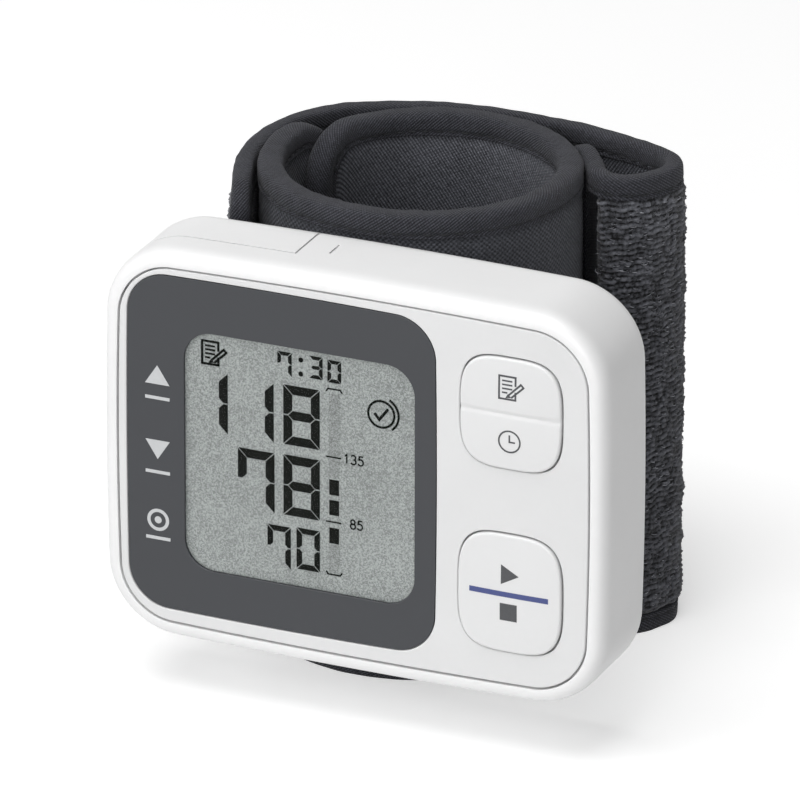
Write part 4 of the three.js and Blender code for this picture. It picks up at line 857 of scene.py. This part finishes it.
a = np.linspace(0, np.pi / 2, 6)
can = [(0.02, -22.25), (3.9, -22.25), (4.1, -22.1), (4.4, -22.1),
       *zip(4.8 + 0.45 * np.sin(a), -21.65 - 0.45 * np.cos(a)),
       *zip(4.75 + 0.5 * np.cos(a), 20.85 + 0.5 * np.sin(a)), (3.4, 21.35), (3.2, 21.2), (2.1, 21.2),
       *zip(1.6 + 0.3 * np.cos(a), 21.95 + 0.3 * np.sin(a)), (0.02, 22.25)]
turns = np.linspace(0, 1, 190)
angle, coil = 6 * np.pi * turns, 3.2 - 1.4 * turns
for number, x, up in ((1, cell_1_x, 1), (2, cell_2_x, -1)):
    cell = turned(f"cell_{number}", [(r, up * z) for r, z in can], x, cell_y)
    dressed(cell, cell_finish(f"cell_sleeve_{number}", up), "monitor", "cell_can", f"battery_{number}")
    helix = np.stack([x + coil * np.cos(angle), cell_y + coil * np.sin(angle),
                      -up * (24.7 - 1.6 * turns)], -1)
    spring = swept(f"cell_spring_{number}", helix, 0.25, across=(0, 0, 1), sides=10)
    dressed(spring, plated_steel, "monitor", "spring_steel", f"battery_spring_{number}")
for node in ("battery_contact_top", "battery_contact_minus", "battery_contact_plus"):
    carried(node, plated_steel, 0.08)

# Battery cover: the white rear left corner of the shell. It slides off to the left. Its grooves for the
# thumb are on the back.

battery_door = carved(housing_form("battery_door"), [
    plate("cover_hollow", body_outline(1.5), -4, 15.7),
    block("cover_right", cover_edge_x - seam, 45, -4, 21, -40, 40),
    block("cover_front", -45, 45, -4, cover_front_y + seam, -40, 40),
    *[block("thumb_groove", x, x + 0.7, 16.6, 21, -8, 8) for x in (-33.4, -31.8, -30.2, -28.6, -27.0)],
])
dressed(softened(battery_door, 0.15), shell_white, "battery_door", "shell_white", "battery_cover")

# Rear cover and saddle: the white rear cover is screwed to the four posts. The dark saddle sits in its
# tub, is hollowed to the cuff's curve, and holds the cuff with two screws.

carried("rear_cover", shell_white, 0.18)
saddle_grey = moulded("saddle_grey", (0.06, 0.062, 0.068), 0.5, 0.3, 0.012)
carried("cuff_saddle", saddle_grey, 0.2)
for screw in (*[f"housing_screw_{number}" for number in (1, 2, 3, 4)], "saddle_screw_1", "saddle_screw_2"):
    carried(screw, zinc_steel, 0.08)

# Cuff: a wrist cuff that keeps its curl. A springy plastic sheet and a flat air bladder lie between a
# coarse nylon cover outside and a fine knitted lining inside, and a twill tape is folded over the edge of
# all four and sewn through. It is glued and screwed to the saddle on the housing's back.

cuff_base = (0, front_y, 0)
cuff_x, cuff_y, cuff_height = -5.2, 41, 71.6
foot_cut = 0.75
rng = np.random.default_rng(5)


def spiral(degrees, growth=None):
    """Points of the cuff's middle line seen from above. It is an oval of half axes 19.5 and 18.6 round
    (cuff_x, cuff_y), and both grow by 4.1 g, where g rises smoothly from 0 at 10 degrees to 1 at -150."""
    share = np.clip((10 - degrees) / 160, 0, 1)
    share = share * share * (3 - 2 * share) if growth is None else growth
    turn = np.radians(degrees)
    return np.stack([cuff_x + (19.5 + 4.1 * share) * np.cos(turn),
                     cuff_y + (18.6 + 4.1 * share) * np.sin(turn)], -1)


class Strip:
    """A strip of cloth that stands on edge along a line seen from above: s is the distance along it, n the
    distance outwards from its middle and z its height. side is 1 if outwards lies right of the way."""

    def __init__(self, points, side):
        self.points = points
        self.places = np.concatenate([[0], np.cumsum(np.linalg.norm(np.diff(points, axis=0), axis=1))])
        self.length = self.places[-1]
        self.ways = np.gradient(points, self.places, axis=0)
        self.side = side

    def read(self, s, table):
        return np.stack([np.interp(s, self.places, table[:, k]) for k in (0, 1)], -1)

    def at(self, s, n, z):
        s, n, z = np.broadcast_arrays(s, n, z)
        inside = np.clip(s, 0, self.length)
        way = self.read(inside, self.ways)
        way /= np.linalg.norm(way, axis=-1, keepdims=True)
        out = self.side * np.stack([way[..., 1], -way[..., 0]], -1)
        flat = self.read(inside, self.points) + way * (s - inside)[..., None] + out * n[..., None]
        return np.concatenate([flat, z[..., None]], -1)


def ripples(s, z, long, amount, count=7):
    """A gentle unevenness: the mean of that many sine waves in random directions, about long apart."""
    total = 0
    for turn, phase, size in rng.uniform([0, 0, 0.7], [np.pi, 2 * np.pi, 1.6], (count, 3)):
        total = total + np.sin((np.cos(turn) * s + np.sin(turn) * z) * 2 * np.pi / (long * size) + phase)
    return amount * total / np.sqrt(count)


def ends(s0, s1, radius, spacing):
    """Places along a strip, evenly spaced, and closer together round corners of that radius."""
    bend = radius * (1 - np.cos(np.linspace(0, np.pi / 2, 9)[:-1]))
    middle = np.linspace(s0 + radius, s1 - radius, max(2, round((s1 - s0 - 2 * radius) / spacing)))
    return np.concatenate([s0 + bend, middle, (s1 - bend)[::-1]]) if radius else middle


def leaf(s0, s1, z0, z1, radius, spacing):
    """A grid over a strip with round corners: its places along the strip, the shares of its height, its
    heights, and the distances from its edge. At the distance d from an end, within the radius, it begins
    radius - sqrt(radius ** 2 - (radius - d) ** 2) further in."""
    s = ends(s0, s1, radius, spacing)
    nearest = np.minimum(np.minimum(s - s0, s1 - s), radius)
    drop = radius - np.sqrt(np.maximum(radius ** 2 - (radius - nearest) ** 2, 0))
    share = np.linspace(0, 1, round((z1 - z0) / spacing))[:, None]
    z = z0 + drop + (z1 - z0 - 2 * drop) * share
    away = np.minimum(np.minimum(z - z0 - drop, z1 - drop - z), np.minimum(s - s0, s1 - s))
    return np.broadcast_to(s, z.shape), share[:, 0], z, away


def cloth(name, strip, s0, s1, z0, z1, radius, face, facing, thickness, spacing=1.0, press=0.35,
          uneven=0.09):
    """A layer of cloth with round corners. Its face stands out from the strip's middle by face, plus the
    ripples, less press exp(-d / 1.6) where d is the distance from its edge."""
    s, share, z, away = leaf(s0, s1, z0, z1, radius, spacing)
    stand = face - facing * press * np.exp(-away / 1.6) + ripples(s, z, 16.0, uneven) * (1 - np.exp(-away / 4))
    piece = skin(name, strip.at(s, stand, z), cuff_base, wrap=(False, False), caps=False,
                 lines=(s[0] * MM, (z0 + (z1 - z0) * share) * MM), flip=strip.side * facing < 0)
    thick = piece.modifiers.new("thickness", "SOLIDIFY")
    thick.thickness = thickness * MM
    thick.offset = -1
    return piece


def strip_edge(length, low, high, radius, spacing):
    """Even steps round the edge of a strip with round corners: places (s, z), the way out of the strip at
    each, and the distance gone."""
    loop = rounded_outline(length, high - low, radius, 0, x=length / 2, z=(low + high) / 2, corner=40, side=2)
    loop = np.vstack([loop, loop[:1]])
    gone = np.concatenate([[0], np.cumsum(np.linalg.norm(np.diff(loop, axis=0), axis=1))])
    here = np.linspace(0, gone[-1], round(gone[-1] / spacing), endpoint=False)
    place = np.stack([np.interp(here, gone, loop[:, k]) for k in (0, 1)], -1)
    way = np.roll(place, -1, 0) - np.roll(place, 1, 0)
    way /= np.linalg.norm(way, axis=1)[:, None]
    return place, np.stack([way[:, 1], -way[:, 0]], -1), here


stitch_pitch = 2.1


def tape(name, strip, high, radius, half, leg):
    """Tape folded over the edge of a strip: flat legs and a squarish fold, whose half width and rise follow
    the 0.62 power of a sine and a cosine. The seam presses a groove 0.2 deep, and 0.1 more at the holes."""
    place, out, here = strip_edge(strip.length, -foot_cut, high, radius, 0.42)
    turn = np.linspace(-np.pi / 2, np.pi / 2, 13)
    outward = half * (np.abs(np.cos(turn)) ** 0.62 - 1)
    fold = half * np.sign(turn) * np.abs(np.sin(turn)) ** 0.62
    legs = np.array([0.0, 0.1, 0.35, 0.6, 0.75, 0.9, 1.1, 1.3]) - half - leg
    across = np.concatenate([legs, outward[1:-1], legs[::-1]])
    stand = np.concatenate([np.full(8, -half), fold[1:-1], np.full(8, half)])
    groove = 0.2 * np.exp(-((across + half + leg - 0.75) / 0.26) ** 2) * (np.abs(stand) > 0.9 * half)
    edge = 0.3 * (across < -half - leg + 0.05)
    hole = np.abs(np.cos(np.pi * here / stitch_pitch)) ** 6
    dip = groove * (1 + 0.5 * hole[:, None]) + edge
    soft = ripples(here[:, None], 6.0 * across, 9.0, 0.06) + ripples(here[:, None], 2.0 * across, 2.4, 0.03)
    stand = (stand - np.sign(stand) * dip) * (1 + soft / half)
    s = place[:, :1] + across * out[:, :1]
    z = np.maximum(place[:, 1:] + (across + soft * (across > -half)) * out[:, 1:], 0)
    grown = np.concatenate([[0], np.cumsum(np.hypot(np.diff(across), np.diff(stand[0])))])
    grown = np.append(grown, grown[-1] + 2 * half)
    return skin(name, strip.at(s, stand, z), cuff_base, wrap=(True, True),
                lines=(grown * MM, np.append(here, here[-1] + 0.42) * MM))


def threads(name, points, smooth=True):
    """Many short threads as one piece, from their points by thread, ring, place round the ring and axis."""
    count, rings, sides = points.shape[:3]
    i, j = np.meshgrid(np.arange(rings - 1), np.arange(sides), indexing="ij")
    beside = (j + 1) % sides
    corners = [i * sides + j, i * sides + beside, (i + 1) * sides + beside, (i + 1) * sides + j]
    first = (np.arange(count) * rings * sides)[:, None, None]
    faces = (first + np.stack(corners, -1).reshape(1, -1, 4)).reshape(-1, 4).tolist()
    return meshed(name, points.reshape(-1, 3), faces, cuff_base, outwards=False, smooth=smooth)


def seam_stitches(name, strip, high, radius, half, leg):
    """The tape's seam: on both sides a row of stitches, each a thread 0.26 thick that rises out of one hole
    and dips into the next. Its height over the groove is 0.14 sin(pi t) at the share t of its length."""
    fine_step = 0.05
    place, out, here = strip_edge(strip.length, -foot_cut, high, radius, fine_step)
    total = here[-1] + fine_step
    count = int(total / stitch_pitch)
    t = np.linspace(0, 1, 7)
    along = (np.arange(count)[:, None] * total / count + 0.3 + 1.5 * t[None, :]) % total
    index = np.minimum((along / fine_step).astype(int), len(here) - 1)
    middle, away = place[index], out[index]
    thick = 0.13 * np.maximum(np.sin(np.pi * np.clip(t, 0.04, 0.96)) ** 0.45, 0.1)
    turn = np.linspace(0, 2 * np.pi, 7)[:-1]
    level = half - 0.24 + 0.14 * np.sin(np.pi * t)
    sides = []
    for side in (-1, 1):
        reach = -half - leg + 0.75 + thick[:, None] * np.cos(turn)
        s = middle[:, :, :1] + away[:, :, :1] * reach
        z = np.maximum(middle[:, :, 1:] + away[:, :, 1:] * reach, 0.02)
        sides.append(strip.at(s, side * (level[:, None] + thick[:, None] * np.sin(turn)), z))
    return threads(name, np.concatenate(sides))


def wave(paint, value, pitch, shift=0.0):
    """A sine wave from 0 to 1 that repeats each pitch millimetres."""
    angle = value * (2 * np.pi / (pitch * MM)) + shift
    return paint.node("ShaderNodeMath", {"operation": "SINE"}, {0: angle}) * 0.5 + 0.5


def woven(name, deep, highlight_and_dust_colour, pitch, relief, rough=0.85, slant=0.0):
    """Woven cloth: crossing waves of warp and weft, raised, with a painted highlight on the yarns and painted
    shade between them, and dusty in patches. With a slant, the ribs run obliquely, as in twill. u and v run
    along and across the cloth."""
    paint = Finish(name)
    place = paint.node("ShaderNodeUVMap", {"uv_map": "cloth"})
    u, v = (paint.node("ShaderNodeSeparateXYZ", {}, {0: place}, axis) for axis in ("X", "Y"))
    patch = speckle(paint, 7.0, 3.0)
    dust = over(paint, 0.34, 0.68, speckle(paint, 0.4, 4.0, 0.75))
    if slant:
        yarn_relief_and_painted_light = wave(paint, u + slant * v, pitch) * (0.5 + 0.5 * wave(paint, v - 0.4 * u, 0.8 * pitch))
    else:
        yarn_relief_and_painted_light = sum(wave(paint, u, pitch, shift) * wave(paint, v, pitch, shift) for shift in (0.0, np.pi))
    # The colour mix paints a highlight on the yarn crests and shade between them, broken up by real dust and
    # patches.
    weave_painted_light_and_dust = over(paint, 0.05, 0.85, yarn_relief_and_painted_light * (0.25 + 0.6 * dust) + 0.2 * patch + 0.16 * dust)
    return finished(paint, {
        "Base Color": tinted(paint, weave_painted_light_and_dust, deep, highlight_and_dust_colour), "Roughness": rough - 0.08 * yarn_relief_and_painted_light + 0.08 * dust,
        "Specular IOR Level": 0.25, "Sheen Weight": 0.06,
        "Normal": raised(paint, 0.8 * yarn_relief_and_painted_light + 0.2 * dust, relief),
    })


# For each cloth the first colour is painted shade between the yarns; the second is a painted highlight on them
# and the dust's colour.
cover_nylon = woven("cuff_nylon", (0.009, 0.0094, 0.012), (0.125, 0.13, 0.15), 0.75, 0.2)
lining_knit = woven("cuff_lining", (0.010, 0.0104, 0.013), (0.225, 0.232, 0.265), 0.56, 0.12, slant=0.7)
twill_tape = woven("binding_twill", (0.004, 0.0041, 0.005), (0.078, 0.08, 0.097), 0.48, 0.14, slant=0.8)
sewing_thread = woven("sewing_thread", (0.010, 0.0105, 0.012), (0.04, 0.042, 0.046), 0.3, 0.03)

cuff = Strip(spiral(np.linspace(177, -209, 3000)), -1)
cuff_half, cuff_leg, cuff_radius = 1.9, 1.6, 8.5
cloth_inset = 2.9
cuff_cloth = (cuff, cloth_inset, cuff.length - cloth_inset, cloth_inset - foot_cut,
              cuff_height - cloth_inset, 5.6)
cover_cloth = cloth("cuff_cover", *cuff_cloth, 1.76, 1, 0.55)
dressed(cover_cloth, cover_nylon, "monitor", "cuff_nylon", "cuff_outer_fabric")
lining_cloth = cloth("cuff_lining", *cuff_cloth, -1.76, -1, 0.55)
dressed(lining_cloth, lining_knit, "monitor", "cuff_lining", "cuff_inner_fabric")
cuff_edge = (cuff, cuff_height, cuff_radius, cuff_half, cuff_leg)
cuff_tape = dressed(tape("cuff_tape", *cuff_edge), twill_tape, "monitor", "binding_twill", "cuff_binding")
cuff_seam = dressed(seam_stitches("cuff_seam", *cuff_edge), sewing_thread, "monitor", "binding_twill")
carried("cuff_curler", black_plastic, 0.05)

# Air bladder: two soft films welded together round the edge with a flat seam, nearly empty of air. It
# lies inside the cuff against the lining.

bladder_inset, bladder_stand = 3.8, -0.45
bladder_s, _, bladder_z, bladder_away = leaf(bladder_inset, cuff.length - bladder_inset, 3.05, 67.8, 4.7, 1.6)
bladder_swell = 0.4 * np.clip((bladder_away - 2.2) / 2.5, 0.2, 1) ** 0.5
bladder_rings = np.concatenate([cuff.at(bladder_s, bladder_stand + bladder_swell, bladder_z),
                                cuff.at(bladder_s, bladder_stand - bladder_swell, bladder_z)[::-1]])
air_bladder = skin("bladder", bladder_rings.transpose(1, 0, 2), cuff_base)
film = moulded("bladder_film", (0.42, 0.43, 0.44), 0.45, 0.5, 0.01)
dressed(air_bladder, film, "monitor", "bladder_film", "air_bladder")

# Strap: a strip of nylon faced with terry loops, bound with the same tape as the cuff. It is sewn in
# beside the cuff's right side, turns back through a wide fold, follows the cuff round the back and ends
# over its left side, where a patch of hook tape on its inner side holds in the loops.

fold_shares = np.array([[0.712, 0.41], [0.8, 0.335], [0.895, 0.385], [0.965, 0.53], [1, 0.72], [0.955, 0.9],
                        [0.83, 1.02], [0.63, 1.125], [0.455, 1.19]])
lap_degrees = [70, 81, 92, 104, 114, 125, 135, 145, 156, 170, 183, 196, 206, 215, 224]
lap_shares = [0.41, 0.22, 0.13, 0.14, 0.22, 0.38, 0.6, 0.83, 0.99, 1.01, 1.01, 1.03, 1.1, 1.29, 1.66]


def beside(degrees, share):
    """A point that stands 3.55 + 4.1 share outside the cuff's inner turn at that angle."""
    point, ahead = spiral(np.array([degrees, degrees - 1.0]), 0)
    way = (ahead - point) / np.linalg.norm(ahead - point)
    return point + np.array([-way[1], way[0]]) * (3.55 + 4.1 * share)


strap_route = np.vstack([
    [beside(degrees, 0) for degrees in (54, 40, 27)],
    np.array([cuff_x, cuff_y]) + fold_shares * (31.1, 18.4),
    [beside(degrees, share) for degrees, share in zip(lap_degrees, lap_shares)],
])
strap = Strip(smooth_line(strap_route), 1)
strap_half, strap_leg, strap_high, strap_radius = 1.4, 2.0, 70.8, 5.0


def bending(piece, material, slot, *nodes):
    """As dressed, but with no body: it bakes its placement into its mesh and hides the CAD nodes."""
    piece.data.materials.clear()
    piece.data.materials.append(material)
    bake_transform(piece)
    if nodes:
        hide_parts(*nodes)
    return piece


web_cloth = cloth("strap_cloth", strap, 2.7, strap.length - 2.7, 1.95, 68.1, 2.3, -1.3, -1, 0.6, 0.8, 0.1,
                  0.03)
bending(web_cloth, lining_knit, "cuff_nylon", "strap_web", "tail_web")


def terry(name, strip, s0, s1, z0, z1, low, high, cell=(0.62, 0.82), spacing=0.285, cells=400):
    """Terry cloth: a slab whose face is covered with loops in wavy rows. Each loop is a bump as big as a
    cell, (|sin a| (0.45 + 0.55 |sin b|)) ** 0.6 high times a random height. Each row starts at random."""
    s = np.linspace(s0, s1, round((s1 - s0) / spacing))[:, None]
    z = np.linspace(z0, z1, round((z1 - z0) / spacing))
    row = z / cell[1] + 0.3 * np.sin(2 * np.pi * s / 7.3 + z / 9.0)
    row += 0.22 * np.sin(2 * np.pi * s / 2.7 + z / 3.0)
    row_number = np.floor(row).astype(int)
    loop = s / cell[0] + rng.uniform(0, 1, cells)[row_number % cells] + 0.3 * np.sin(s / 1.9 + row_number)
    loop_number = np.floor(loop).astype(int)
    tall = rng.uniform(0.45, 1.0, (cells, cells))[row_number % cells, loop_number % cells]
    bump = (np.abs(np.sin(np.pi * row)) * (0.45 + 0.55 * np.abs(np.sin(np.pi * loop)))) ** 0.6 * tall
    fine = rng.normal(0, 0.05, bump.shape) + ripples(s, z, 5.0, 0.12, 12)
    edge = np.minimum(np.minimum(s - s0, s1 - s), np.minimum(z - z0, z1 - z))
    face = low + (high - low) * (1 - np.exp(-(edge + 0.12) / 0.45)) * (0.66 + 0.34 * bump) + fine
    front = strip.at(s, face, z)
    back = strip.at(s, low, np.array([z1, z0]))
    across = np.concatenate([z, [z1 + 1, z1 + 2, z1 + 3]]) * MM
    piece = skin(name, np.concatenate([front, back], 1), cuff_base, lines=(across, s[:, 0] * MM))
    # The loop heights are kept for the material, which paints a highlight on the loop tops and shade in the
    # hollows.
    heights = np.concatenate([bump, np.zeros((len(s), 2))], 1).astype(np.float32)
    piece.data.attributes.new("loop", "FLOAT", "POINT").data.foreach_set("value", heights.ravel())
    return piece


# The terry's colour is partly painted light: loop height makes tops lighter as painted highlight and hollows
# darker as painted shade; fuzz and patches are the yarn's own tone.
terry_paint = Finish("terry_loop")
terry_fuzz = speckle(terry_paint, 0.35, 5.0, 0.7)
terry_patch = speckle(terry_paint, 5.0, 3.0)
terry_loop_painted_light = terry_paint.node("ShaderNodeAttribute", {"attribute_name": "loop"}, output="Fac")
terry_painted_light_and_fuzz = over(terry_paint, 0.48, 1.03, 0.6 * terry_fuzz + 0.1 * terry_patch + 0.6 * terry_loop_painted_light)
terry_loop = finished(terry_paint, {
    "Base Color": tinted(terry_paint, terry_painted_light_and_fuzz, (0.004, 0.0041, 0.005), (0.24, 0.247, 0.28)),
    "Roughness": 0.86 + 0.1 * terry_fuzz, "Specular IOR Level": 0.25, "Sheen Weight": 0.25,
    "Normal": raised(terry_paint, terry_fuzz, 0.12),
})
terry_start = 0.12 * strap.length
pile = terry("strap_terry", strap, terry_start, strap.length - 3.0, 2.4, 67.7, -0.3, 2.05)
bending(pile, terry_loop, "terry_loop", "strap_pile", "tail_pile")
triangle = np.radians([0, 120, 240])


def yarn_loops(name, strip, s0, s1, z0, z1, rise, count, thick=0.07):
    """Loose loops of yarn that stand out of the terry: half rings, each turned by a random angle, with a
    random width, and as high over rise as sin(pi t) times 0.2 to 0.55."""
    t = np.linspace(0, 1, 6)[:, None]
    middle_s, middle_z, angle, width, height, lean = rng.uniform(
        [s0, z0, -0.6, 0.25, 0.2, -0.2], [s1, z1, 0.6, 0.45, 0.55, 0.2], (count, 6)).T[:, :, None, None]
    arch = width * np.cos(np.pi * t)
    s = middle_s + arch * np.cos(angle) + thick * np.cos(triangle) * np.sin(angle)
    z = middle_z + arch * np.sin(angle) + lean * np.sin(np.pi * t) + thick * np.cos(triangle) * np.cos(angle)
    n = rise + height * np.sin(np.pi * t) + thick * np.sin(triangle)
    return threads(name, strip.at(s, n, z))


terry_yarn = worn("terry_yarn", (0.012, 0.0125, 0.015), (0.42, 0.43, 0.47), 1.3, 0.8, 0.1,
                  between=(0.38, 0.62), more={"Specular IOR Level": 0.25})
loops = yarn_loops("strap_yarn", strap, terry_start + 0.8, strap.length - 4.2, 3.6, 66.6, 1.35, 6200)
bending(loops, terry_yarn, "terry_loop")
strap_edge = (strap, strap_high, strap_radius, strap_half, strap_leg)
strap_tape = bending(tape("strap_tape", *strap_edge), twill_tape, "binding_twill", "strap_binding",
                     "tail_binding")
strap_seam = bending(seam_stitches("strap_seam", *strap_edge), sewing_thread, "binding_twill")

hook_start, hook_end = strap.length - 23.7, strap.length - 3.4
hook_tape = worn("hook_tape", (0.012, 0.012, 0.013), (0.035, 0.035, 0.038), 0.4, 0.45, 0.25)
hook_cloth = cloth("hook_tape", strap, hook_start, hook_end, 2.95, 67.1, 1.3, -1.48, -1, 0.5, 0.8, 0.05, 0)
dressed(hook_cloth, hook_tape, "strap_tail", "hook_tape", "hook_tab")
hook_s, hook_z = np.meshgrid(np.arange(hook_start + 1.2, hook_end - 1.2, 1.1), np.arange(4.6, 65.6, 1.15))
bend = np.linspace(0, 1, 5)[:, None]
hook_places = strap.at(hook_s.reshape(-1, 1, 1) + 0.32 * bend ** 2 + 0.09 * np.cos(triangle),
                       -1.48 - 0.3 * np.sin(2.1 * bend), hook_z.reshape(-1, 1, 1) + 0.09 * np.sin(triangle))
hooks = dressed(threads("hooks", hook_places, smooth=False), hook_tape, "strap_tail", "hook_tape")
